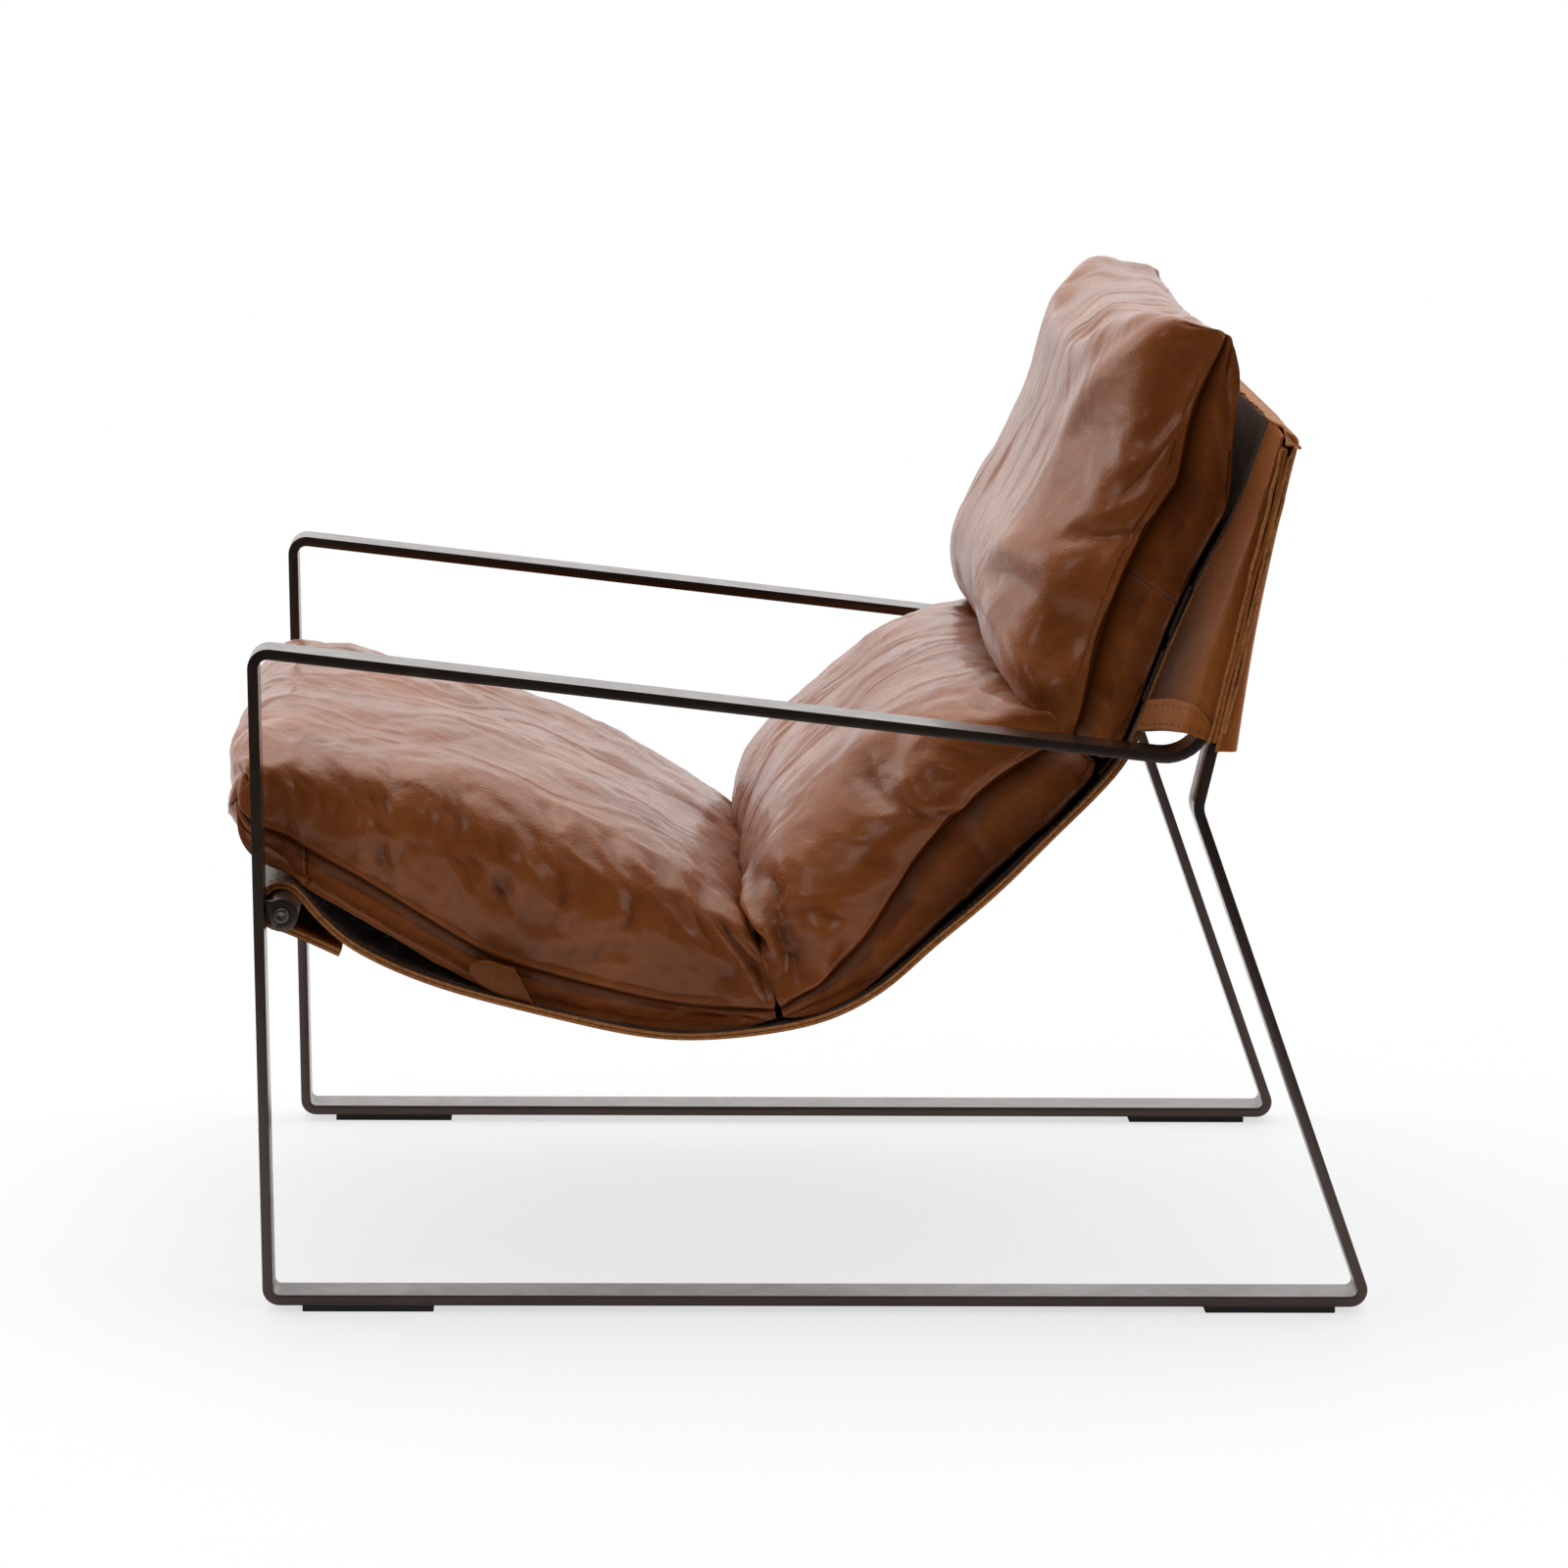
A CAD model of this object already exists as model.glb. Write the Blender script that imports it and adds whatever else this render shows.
"""Leather sling lounge chair: a soft waxed-leather seat on two bent flat-bar loops.

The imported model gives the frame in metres: +X to the back, +Y to the sitter's right, +Z up, floor at
z = 0. The lines that the leather follows are worked out in millimetres from the front outer end of
the left floor bar, as a workshop would measure them, and moved into the frame at the end.
"""

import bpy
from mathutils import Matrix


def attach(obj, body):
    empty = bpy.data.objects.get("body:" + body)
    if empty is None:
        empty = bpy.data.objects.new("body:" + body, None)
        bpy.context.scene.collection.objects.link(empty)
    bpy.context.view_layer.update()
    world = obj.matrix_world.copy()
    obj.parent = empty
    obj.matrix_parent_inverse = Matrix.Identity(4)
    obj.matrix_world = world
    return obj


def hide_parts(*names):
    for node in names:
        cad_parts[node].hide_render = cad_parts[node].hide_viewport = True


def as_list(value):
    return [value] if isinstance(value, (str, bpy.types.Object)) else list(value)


bl_info = {
    "name": "Sling Lounge Chair",
    "version": (1, 0, 0),
    "blender": (4, 5, 0),
    "location": "View3D > Sidebar > Lounge Chair",
    "description": "Builds a leather sling lounge chair on a bent steel frame",
    "category": "Add Mesh",
}

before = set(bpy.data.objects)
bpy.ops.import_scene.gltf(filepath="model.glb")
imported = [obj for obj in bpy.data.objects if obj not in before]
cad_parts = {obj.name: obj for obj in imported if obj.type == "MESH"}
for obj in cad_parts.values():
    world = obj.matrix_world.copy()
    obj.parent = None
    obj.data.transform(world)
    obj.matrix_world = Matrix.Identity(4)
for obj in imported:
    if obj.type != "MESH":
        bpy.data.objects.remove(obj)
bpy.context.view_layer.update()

import functools
import math

import bmesh
import bpy
import numpy as np
from mathutils import Matrix, Vector

MM = 0.001

# Sizes of the frame that the leather is fitted to, in millimetres
CHAIR_WIDTH = 680.0
BAR_WIDTH = 38.0
BAR_THICKNESS = 8.0
LEG_LEAN = 10.0
ARM_HEIGHT = 507.0
KINK = (710.0, 387.0)
UPRIGHT_HEIGHT = 657.0
UPRIGHT_LEAN = math.radians(12.5)
ROD_RADIUS = 12.5
ROD_HEIGHT = 302.0
FIT_GAP = 0.3
LEATHER = 2.8
KEEPER_LEATHER = 2.4
SLACK = 0.1
LAYER_GAP = 0.3
REST_GAP = 0.85
STACK_HALF = LAYER_GAP / 2 + LEATHER
SLING_EDGE = BAR_WIDTH + 2.0
SLING_SAG = 100.0
SLING_TOP = 676.0
SLING_STEPS = 44
PAD_THICKNESS = 5.0
CUT_EASE = 0.45
CUT_ANGLE = math.radians(50)
BAR_ANGLE = math.radians(25)


def lin(hex_colour, alpha=1.0):
    """An sRGB hex value as a linear colour."""
    values = [int(hex_colour[i:i + 2], 16) / 255 for i in (1, 3, 5)]
    return tuple(v / 12.92 if v <= 0.04045 else ((v + 0.055) / 1.055) ** 2.4 for v in values) + (alpha,)


def shade(colour, by, plus=0.0):
    """A colour made darker or paler."""
    return tuple(min(c * by + plus, 1.0) for c in colour[:3]) + (1.0,)


def with_settings(target, **settings):
    for name, value in settings.items():
        setattr(target, name, value)
    return target


# ---------------------------------------------------------------- curves and grids


def catmull(points, t):
    """Points of a centripetal curve through the given ones, at shares t of its run of points."""
    p = np.asarray(points, float)
    p = np.vstack([2 * p[0] - p[1], p, 2 * p[-1] - p[-2]])
    count = len(p) - 3
    place = np.clip(np.asarray(t, float), 0, 1) * count
    k = np.minimum(place.astype(int), count - 1)
    w = (place - k)[:, None]
    a, b, c, d = p[k], p[k + 1], p[k + 2], p[k + 3]
    gap = [np.maximum(np.linalg.norm(y - x, axis=1) ** 0.5, 1e-4)[:, None] for x, y in ((a, b), (b, c), (c, d))]
    t1 = ((b - a) / gap[0] - (c - a) / (gap[0] + gap[1]) + (c - b) / gap[1]) * gap[1]
    t2 = ((c - b) / gap[1] - (d - b) / (gap[1] + gap[2]) + (d - c) / gap[2]) * gap[1]
    return b + t1 * w + (3 * (c - b) - 2 * t1 - t2) * w ** 2 + (2 * (b - c) + t1 + t2) * w ** 3


def distances(curve):
    """How far along a polyline each of its points lies."""
    return np.concatenate([[0], np.cumsum(np.linalg.norm(np.diff(curve, axis=0), axis=1))])


def along(curve, shares):
    """Points at shares of a polyline's length."""
    s = distances(curve)
    at = np.clip(shares, 0, 1) * s[-1]
    return np.stack([np.interp(at, s, curve[:, i]) for i in range(curve.shape[1])], -1)


def length_of(curve):
    return float(np.linalg.norm(np.diff(curve, axis=0), axis=1).sum())


def left_normals(curve):
    run = np.gradient(curve, axis=0)
    run /= np.linalg.norm(run, axis=1)[:, None]
    return np.stack([-run[:, 1], run[:, 0]], 1)


def spline(values, places, axis=0):
    """Evenly spread values along an axis, read by a smooth curve at shares of it."""
    v = np.moveaxis(np.asarray(values, float), axis, 0)
    v = np.concatenate([2 * v[:1] - v[1:2], v, 2 * v[-1:] - v[-2:-1]])
    at = np.clip(places, 0, 1) * (len(v) - 3)
    k = np.minimum(at.astype(int), len(v) - 4)
    w = (at - k).reshape((-1,) + (1,) * (v.ndim - 1))
    a, b, c, d = v[k], v[k + 1], v[k + 2], v[k + 3]
    out = b + 0.5 * w * (c - a + w * (2 * a - 5 * b + 4 * c - d + w * (3 * (b - c) + d - a)))
    return np.moveaxis(out, 0, axis)


def softened(values, axis):
    """Each value drawn towards its two neighbours along an axis; the ends stay."""
    v = np.moveaxis(values, axis, 0).copy()
    v[1:-1] = (v[:-2] + 2 * v[1:-1] + v[2:]) / 4
    return np.ascontiguousarray(np.moveaxis(v, 0, axis))


def leg_rear(z):
    return BAR_THICKNESS - LEG_LEAN * z / ARM_HEIGHT


def upright_rear(z):
    return KINK[0] + (z - KINK[1]) * math.tan(UPRIGHT_LEAN)


def upright_front(z):
    return upright_rear(z) - BAR_THICKNESS / math.cos(UPRIGHT_LEAN)


ROD = np.array([leg_rear(ROD_HEIGHT - ROD_RADIUS) + ROD_RADIUS + FIT_GAP, ROD_HEIGHT])
SLING_TOP_POINT = np.array([upright_front(SLING_TOP) - 6.0, SLING_TOP])

# The sling's middle line, as shares from the rod to its top and from its lowest point to its top
SLING_SHARES = np.array([
    (0.04, 0.188), (0.069, 0.148), (0.131, 0.101), (0.272, 0.034), (0.413, 0.0), (0.533, 0.021),
    (0.605, 0.073), (0.674, 0.165), (0.76, 0.292), (0.825, 0.394), (0.857, 0.459), (0.876, 0.525),
    (0.927, 0.728), (0.97, 0.866), (1.0, 1.0),
])


def sling_line():
    low = np.array([ROD[0], ROD[1] - SLING_SAG])
    points = low + SLING_SHARES * (SLING_TOP_POINT - low)
    angles = np.radians(np.linspace(-95, -320, 10))
    radius = ROD_RADIUS + FIT_GAP + STACK_HALF + 2 * (1 - np.cos(angles))
    loop = ROD + np.stack([np.cos(angles), np.sin(angles)], 1) * radius[:, None]
    end = ROD + (43.0, -36.0)
    middle = (end + ROD + (0, -ROD_RADIUS - STACK_HALF)) / 2 - (0, 0.8)
    return catmull(np.vstack([end, middle, loop, points]), np.linspace(0, 1, 4001))


SLING = along(sling_line(), np.linspace(0, 1, 2 * SLING_STEPS + 1))
SLING_NORMALS = left_normals(SLING)


def sling_face(z):
    """Where the sling's upper face lies at a height on the back."""
    face = (SLING + SLING_NORMALS * STACK_HALF)[SLING_STEPS:]
    face = face[face[:, 0] > ROD[0] + SLING_SAG]
    return np.interp(z, face[:, 1], face[:, 0])


def rest_line():
    """The line that the cushions rest on."""
    top = ROD + (0, ROD_RADIUS + FIT_GAP + 2 * STACK_HALF + 2 + REST_GAP)
    nose = top + (-50.0, 17.0)
    keep = (np.arange(len(SLING)) > SLING_STEPS / 2) & (SLING[:, 0] > ROD[0] + SLING_SAG)
    keep &= SLING[:, 1] < SLING_TOP - 66
    rest = (SLING + SLING_NORMALS * (STACK_HALF + REST_GAP))[keep]
    bulge = SLING_TOP_POINT + (-26.0, 0)
    points = np.vstack([nose, (nose + top) / 2, top, ROD + (25.0, 6.0), rest, bulge, bulge + (0, 66.0)])
    return along(catmull(points, np.linspace(0, 1, 6001)), np.linspace(0, 1, 3001))


REST = rest_line()
REST_LENGTH = length_of(REST)

SHIFT = np.array([-404.444, -CHAIR_WIDTH / 2, PAD_THICKNESS])


def to_frame(points):
    """Workshop millimetres to metres in the frame."""
    return (np.asarray(points, float) + SHIFT) * MM


def area_of(grid):
    a = np.cross(grid[1:, :-1] - grid[:-1, :-1], grid[:-1, 1:] - grid[:-1, :-1])
    b = np.cross(grid[1:, :-1] - grid[1:, 1:], grid[:-1, 1:] - grid[1:, 1:])
    return float((np.linalg.norm(a, axis=-1) + np.linalg.norm(b, axis=-1)).sum() / 2)


def quads(rows, cols):
    i, j = np.meshgrid(np.arange(rows - 1), np.arange(cols - 1), indexing="ij")
    a = (i * cols + j).ravel()
    return np.stack([a, a + 1, a + cols + 1, a + cols], 1)


def rim_of(rows, cols):
    """Which points of a grid lie on its rim."""
    i, j = np.divmod(np.arange(rows * cols), cols)
    return (i == 0) | (j == 0) | (i == rows - 1) | (j == cols - 1)


def grid_of(x, y, z):
    """A grid of points from coordinates that are spread over each other."""
    return np.stack(np.broadcast_arrays(x, y, z), -1).astype(float)


def waves(p, seed, count, shortest, longest):
    """Smooth even noise in about -1..1, from plane waves with lengths between the two given, at points
    or at a tuple of their coordinates."""
    p = np.stack(p, -1) if isinstance(p, tuple) else p
    rng = np.random.default_rng(seed)
    total = np.zeros(p.shape[:-1])
    for _ in range(count):
        direction = rng.normal(size=p.shape[-1])
        direction *= 2 * math.pi / rng.uniform(shortest, longest) / np.linalg.norm(direction)
        total += np.sin(p @ direction + rng.uniform(0, 2 * math.pi))
    return total / math.sqrt(count)


# ---------------------------------------------------------------- meshes and pieces


def linked(name, data):
    """A new object in the scene."""
    piece = bpy.data.objects.new(name, data)
    bpy.context.scene.collection.objects.link(piece)
    return piece


def new_object(name, vertices, faces, materials=(), smooth=True):
    mesh = bpy.data.meshes.new(name)
    mesh.from_pydata([tuple(v) for v in vertices], [], [tuple(map(int, f)) for f in faces])
    for material in materials:
        mesh.materials.append(material)
    mesh.polygons.foreach_set("use_smooth", [smooth] * len(mesh.polygons))
    mesh.update()
    return linked(name, mesh)


def set_values(mesh, name, values):
    """Stores one number for each point of a mesh, for its material."""
    data = mesh.attributes.new(name, "FLOAT", "POINT").data
    data.foreach_set("value", np.asarray(values).astype(np.float32).ravel())


def set_uv(mesh, flat):
    """Lays the faces out by the places of their points on the flat hide, in metres."""
    loops = np.empty(len(mesh.loops), int)
    mesh.loops.foreach_get("vertex_index", loops)
    mesh.uv_layers.new(name="UVMap").data.foreach_set("uv", flat[loops].ravel())


def evaluated(piece):
    """Applies a piece's modifiers: its mesh becomes the plain result."""
    depsgraph = bpy.context.evaluated_depsgraph_get()
    depsgraph.update()
    mesh = bpy.data.meshes.new_from_object(piece.evaluated_get(depsgraph), depsgraph=depsgraph)
    old = piece.data
    piece.modifiers.clear()
    piece.data = mesh
    bpy.data.meshes.remove(old)
    return piece


def place(piece, body, slot, *nodes):
    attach(piece, body)
    if nodes:
        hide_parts(*nodes)
    return piece


def eased_copy(node, name, material, radius, slot):
    """A copy of a steel or rubber node in its place, with its sharp edges eased, as the real bar's are."""
    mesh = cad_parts[node].data.copy()
    work = bmesh.new()
    work.from_mesh(mesh)
    bmesh.ops.remove_doubles(work, verts=work.verts, dist=2e-6)
    bmesh.ops.dissolve_limit(work, angle_limit=math.radians(0.6), verts=work.verts, edges=work.edges)
    sharp = [e for e in work.edges if e.is_manifold and e.calc_face_angle(0) > BAR_ANGLE]
    bmesh.ops.bevel(work, geom=sharp, offset=radius * MM, segments=2, profile=0.5, affect="EDGES",
                    clamp_overlap=True)
    bmesh.ops.triangulate(work, faces=[f for f in work.faces if len(f.verts) > 4])
    bmesh.ops.recalc_face_normals(work, faces=work.faces)
    work.to_mesh(mesh)
    work.free()
    mesh.materials.clear()
    mesh.materials.append(material)
    mesh.polygons.foreach_set("material_index", [0] * len(mesh.polygons))
    mesh.shade_smooth()
    mesh.set_sharp_from_angle(angle=BAR_ANGLE)
    return place(linked(name, mesh), "chair_frame", slot, node)


def leather_sheet(name, grid, thickness, skin, edge, burnish=None):
    """A sheet of leather of one thickness round a grid of points in the frame, with raw cut edges, and
    its flat size. burnish says how dark and rubbed each of its points is, from 0 to 1."""
    rows, cols = grid.shape[:2]
    piece = new_object(name, grid.reshape(-1, 3), quads(rows, cols), (skin, edge))
    if burnish is not None:
        set_values(piece.data, "burnish", np.broadcast_to(burnish, (rows, cols)))
    down, across = distances(grid[:, cols // 2]), distances(grid[rows // 2])
    set_uv(piece.data, np.stack(np.meshgrid(down, across, indexing="ij"), -1).reshape(-1, 2))
    with_settings(piece.modifiers.new("Thickness", "SOLIDIFY"), thickness=thickness * MM, offset=0,
                  material_offset_rim=1)
    with_settings(piece.modifiers.new("Eased edges", "BEVEL"), width=CUT_EASE * MM, segments=2,
                  limit_method="ANGLE", angle_limit=CUT_ANGLE, material=-1)
    evaluated(piece)
    piece.data.shade_smooth()
    piece.data.set_sharp_from_angle(angle=CUT_ANGLE)
    return piece, (float(across[-1]), float(down[-1]))


def sewn_sheet(name, grid, thickness, skin, edge, node, held, rests_on, burnish=None, welts=(),
               body="chair_frame", slot="pocket_leather"):
    """A sheet in its place with its flat size noted; welts are the sheets that are sewn to it."""
    piece, flat = leather_sheet(name, grid, thickness, skin, edge, burnish)
    sewn = [place(leather_sheet(*welt)[0], body, slot) for welt in welts]
    min(area_of(grid), flat[0] * flat[1])
    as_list(rests_on)
    return place(piece, body, slot, node)


def mirror_grid(grid):
    copy = grid.copy()
    copy[..., 1] *= -1
    return copy[:, ::-1]


SIDES = {"left": lambda grid: grid, "right": mirror_grid}
STITCH_LINES = []


def sew(line, turn=SIDES["left"]):
    """Notes a line of stitches, turned to its side of the chair."""
    STITCH_LINES.append(turn(to_frame(line)[:, None])[:, 0])


# ---------------------------------------------------------------- materials

# The output that a node stands for, where that isn't its first
MEANT_OUTPUT = {"ShaderNodeMix": 2, "ShaderNodeAttribute": "Fac", "ShaderNodeTexCoord": "Object"}


def add_node(tree, kind, inputs=None, stops=(), **settings):
    """Adds a node. inputs gives its sockets plain values, other sockets, or nodes to be linked by the
    output that they stand for; stops are the places and colours of a ramp, where a number is a grey."""
    node = with_settings(tree.nodes.new(kind if "Node" in kind else "ShaderNode" + kind), **settings)
    for socket, value in (inputs or {}).items():
        if isinstance(value, bpy.types.Node):
            value = value.outputs[MEANT_OUTPUT.get(value.bl_idname, 0)]
        if isinstance(value, bpy.types.NodeSocket):
            tree.links.new(value, node.inputs[socket])
        else:
            node.inputs[socket].default_value = value
    if stops:
        stops = [(at, (c, c, c, 1.0) if isinstance(c, float) else c) for at, c in stops]
        bar = node.color_ramp.elements
        bar[0].position, bar[0].color = stops[0]
        bar[1].position, bar[1].color = stops[-1]
        for position, colour in stops[1:-1]:
            bar.new(position).color = colour
    return node


def bronze_powder_coat(node, colour):
    """Powder-coated mild steel in dark bronze: a thin satin skin with a fine even orange peel."""
    spot = node("TexCoord")
    mottle = node("TexNoise", {"Vector": spot, "Scale": 9.0, "Detail": 4.0})
    tint = node("Mix", {0: mottle, 6: shade(colour, 0.82), 7: shade(colour, 1.2)}, data_type="RGBA")
    # orange peel about 1.6 mm across
    peel = node("TexNoise", {"Vector": spot, "Scale": 620.0, "Detail": 2.0})
    scuff = node("TexNoise", {"Vector": spot, "Scale": 46.0, "Detail": 5.0, "Roughness": 0.65})
    return node("BsdfPrincipled", {
        "Metallic": 0.8, "IOR": 1.5, "Coat Weight": 0.45, "Coat Roughness": 0.24, "Base Color": tint,
        "Roughness": node("ValToRGB", {0: scuff}, [(0.3, 0.27), (0.75, 0.4)]),
        "Normal": node("Bump", {"Strength": 0.09, "Distance": 0.0004, "Height": peel})})


def plated_steel(node, colour):
    """Zinc-plated and darkened steel of the bolts: turned faces with fine marks of the tool."""
    stain = node("TexNoise", {"Vector": node("TexCoord"), "Scale": 160.0, "Detail": 4.0})
    return node("BsdfPrincipled", {
        "Metallic": 1.0, "Roughness": node("ValToRGB", {0: stain}, [(0.3, 0.22), (0.7, 0.38)]),
        "Base Color": node("Mix", {0: stain, 6: shade(colour, 0.6), 7: colour}, data_type="RGBA")})


def pad_rubber(node, colour):
    """Moulded black rubber of the floor pads: matt, with a faint grey bloom."""
    spot = node("TexCoord")
    bloom = node("TexNoise", {"Vector": spot, "Scale": 60.0, "Detail": 5.0})
    grain = node("TexNoise", {"Vector": spot, "Scale": 900.0, "Detail": 2.0})
    return node("BsdfPrincipled", {
        "Roughness": 0.78, "IOR": 1.52,
        "Base Color": node("Mix", {0: bloom, 6: colour, 7: shade(colour, 1.9, 0.002)}, data_type="RGBA"),
        "Normal": node("Bump", {"Strength": 0.2, "Distance": 0.0005, "Height": grain})})


def waxed_leather(node, pale, middle, dark, gloss, coat=0.1, streaks=1.0, below=None):
    """Waxed pull-up cowhide: an oiled dark ground that pales where it is stretched, with a soft gloss.
    The hide's pebble grain is about 2 mm, and the creases run along the UV map's first axis. below is
    the cushions' colour deep below the seam; they alone have the marks of stuffed leather."""
    spot = node("TexCoord")
    uv = node("UVMap", uv_map="UVMap")
    cloud = node("TexNoise", {"Vector": spot, "Scale": 9.0, "Detail": 9.0, "Roughness": 0.68, "Distortion": 0.3})
    worn = node("ValToRGB", {0: cloud}, [(0.2, dark), (0.5, middle), (0.8, pale)])
    # thin wandering creases: the level lines of a long drawn-out noise
    creases = []
    for scale, thin in (((4.5, 46.0, 1.0), 0.035), ((8.0, 120.0, 1.0), 0.06)):
        drawn = node("Mapping", {"Vector": uv, "Scale": scale})
        level = node("TexNoise", {"Vector": drawn, "Scale": 1.0, "Detail": 2.5, "Distortion": 0.15})
        off = node("Math", {0: level, 1: 0.5}, operation="SUBTRACT")
        off = node("Math", {0: off}, operation="ABSOLUTE")
        creases.append(node("ValToRGB", {0: off}, [(0.0, 0.0), (thin, 1.0)]))
    both = node("Math", {0: creases[0], 1: 0.6, 2: creases[1]}, operation="MULTIPLY_ADD")
    pebble = node("TexVoronoi", {"Vector": spot, "Scale": 480.0})
    scratch = node("TexNoise", {"Vector": spot, "Scale": 90.0, "Detail": 7.0, "Roughness": 0.7})
    relief = node("Math", {0: pebble, 1: 0.5, 2: scratch}, operation="MULTIPLY_ADD")
    fine = node("Bump", {"Strength": 0.5, "Distance": 0.0011, "Height": relief})
    sheen = {}
    if below:
        # pale ridges and dark folds, creased on top, dark along the seam and darker underneath
        marks = {key: node("Attribute", attribute_name=key) for key in ("stretch", "under", "seam", "crumple")}
        ridge = node("ValToRGB", {0: marks["stretch"]}, [(0.5, 0.0), (0.85, 0.35)])
        hollow = node("ValToRGB", {0: marks["stretch"]}, [(0.1, 0.65), (0.46, 0.0)])
        deep = shade(dark, 0.3)
        for share, colour in ((ridge, pale), (hollow, deep)):
            worn = node("Mix", {0: share, 6: worn, 7: colour}, data_type="RGBA")
        lined = node("Mix", {0: creases[0], 6: dark, 7: worn}, data_type="RGBA")
        lined = node("Mix", {0: 0.22, 6: worn, 7: lined}, data_type="RGBA")
        layers = ((marks["crumple"], lined), (marks["under"], below), (marks["seam"], deep))
        both = node("Math", {0: both, 1: marks["crumple"]}, operation="MULTIPLY")
        # no gloss in the seam or underneath
        hidden = node("Math", {0: marks["seam"], 1: marks["under"]}, operation="MAXIMUM")
        for socket, most in (("Specular IOR Level", 0.5), ("Coat Weight", coat)):
            sheen[socket] = node("MapRange", {"Value": hidden, "To Min": most, "To Max": 0.0})
        # small sharp crinkles between the folds
        sharp = node("TexNoise", {"Vector": spot, "Scale": 21.0, "Detail": 4.0, "Roughness": 0.5, "Lacunarity": 2.1,
                                  "Offset": 0.9, "Gain": 1.6, "Distortion": 0.35}, noise_type="RIDGED_MULTIFRACTAL")
        fine = node("Bump", {"Strength": 0.36, "Distance": 0.0016, "Height": sharp, "Normal": fine})
    else:
        rubbed = node("ValToRGB", {0: creases[1]}, [(0.0, 0.3 * streaks), (0.6, 0.0)])
        layers = ((rubbed, pale), (node("Attribute", attribute_name="burnish"), shade(dark, 0.35)))
    for share, colour in layers:
        worn = node("Mix", {0: share, 6: worn, 7: colour}, data_type="RGBA")
    return node("BsdfPrincipled", {
        "IOR": 1.4, "Coat Weight": coat, "Coat Roughness": 0.21, "Coat IOR": 1.4, "Base Color": worn,
        "Specular Tint": (1.0, 0.7, 0.48, 1.0),
        "Roughness": node("ValToRGB", {0: scratch}, [(0.3, gloss), (0.7, gloss + 0.14)]),
        "Normal": node("Bump", {"Strength": 0.5 * streaks, "Distance": 0.0008, "Height": both, "Normal": fine}),
        **sheen})


def cut_edge(node, colour):
    """The raw cut edge of vegetable-tanned leather: pale orange fibres pressed in thin level layers."""
    fibre = node("TexNoise", {"Vector": node("TexCoord"), "Scale": 260.0, "Detail": 6.0, "Roughness": 0.7})
    stops = [(0.3, shade(colour, 0.35)), (0.5, colour), (0.75, shade(colour, 1.5))]
    return node("BsdfPrincipled", {
        "Roughness": 0.62, "IOR": 1.48, "Base Color": node("ValToRGB", {0: fibre}, stops),
        "Normal": node("Bump", {"Strength": 0.35, "Distance": 0.0006, "Height": fibre})})


def waxed_thread(node, colour):
    """Waxed polyester thread, twisted: a dull sheen and a slight change of tone along its length."""
    twist = node("TexNoise", {"Vector": node("TexCoord"), "Scale": 700.0, "Detail": 2.0})
    tint = node("Mix", {0: twist, 6: shade(colour, 0.6), 7: colour}, data_type="RGBA")
    return node("BsdfPrincipled", {"Roughness": 0.5, "IOR": 1.5, "Base Color": tint})


SHARED = {}


def shared(name, shader, *args, **options):
    """One material for all the pieces that share a finish; shader adds its nodes."""
    if name not in SHARED:
        material = SHARED[name] = bpy.data.materials.new(name)
        material.use_nodes = True
        material.node_tree.nodes.clear()
        node = functools.partial(add_node, material.node_tree)
        node("OutputMaterial", {"Surface": shader(node, *args, **options)})
    return SHARED[name]


def hide_leather(settings):
    return shared("Tobacco waxed cowhide", waxed_leather, lin("#a5622f"), settings.hide_colour, lin("#6a3514"),
                  0.5, streaks=0.4)


def face_leather(settings):
    return shared("Dark glazed saddle leather", waxed_leather, lin("#78685d"), settings.face_colour,
                  lin("#281b15"), 0.45, coat=0.08, streaks=1.15)


def raw_edge(settings):
    return shared("Raw cut leather edge", cut_edge, settings.edge_colour)


# ---------------------------------------------------------------- settings


def colour_setting(name, description, hex_colour):
    return bpy.props.FloatVectorProperty(name=name, description=description, default=lin(hex_colour),
                                         size=4, subtype="COLOR", min=0, max=1)


def length_setting(name, description, default):
    return bpy.props.FloatProperty(name=name, description=description, default=default, min=0, unit="LENGTH",
                                   precision=4)


def share_setting(name, description, default):
    return bpy.props.FloatProperty(name=name, description=description, default=default, min=0)


class SteelSettings(bpy.types.PropertyGroup):
    bar_edge: length_setting("Bar edge", "Radius of the eased edges of the flat bar", 0.0008)
    bar_colour: colour_setting("Bar colour", "Colour of the coated bar", "#4a3d36")
    bolt_colour: colour_setting("Bolt colour", "Colour of the plated bolts", "#7d7974")
    pad_colour: colour_setting("Pad colour", "Colour of the floor pads", "#141313")


class LeatherSettings(bpy.types.PropertyGroup):
    stitch_length: length_setting("Stitch length", "Length of one stitch", 0.0042)
    stitch_pitch: length_setting("Stitch pitch", "Distance between two stitches", 0.0058)
    stitch_inset: length_setting("Stitch inset", "Distance of a stitch line from the edge", 0.008)
    edge_wave: length_setting("Edge wave", "How far the sling's long edges wander up and down", 0.0009)
    face_colour: colour_setting("Face colour", "Colour of the sling's smooth face", "#43342b")
    hide_colour: colour_setting("Hide colour", "Colour of the pocket and the sling's back", "#96501c")
    edge_colour: colour_setting("Edge colour", "Colour of the raw cut edges", "#a3642a")
    thread_colour: colour_setting("Thread colour", "Colour of the stitches", "#6a4a2c")


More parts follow.
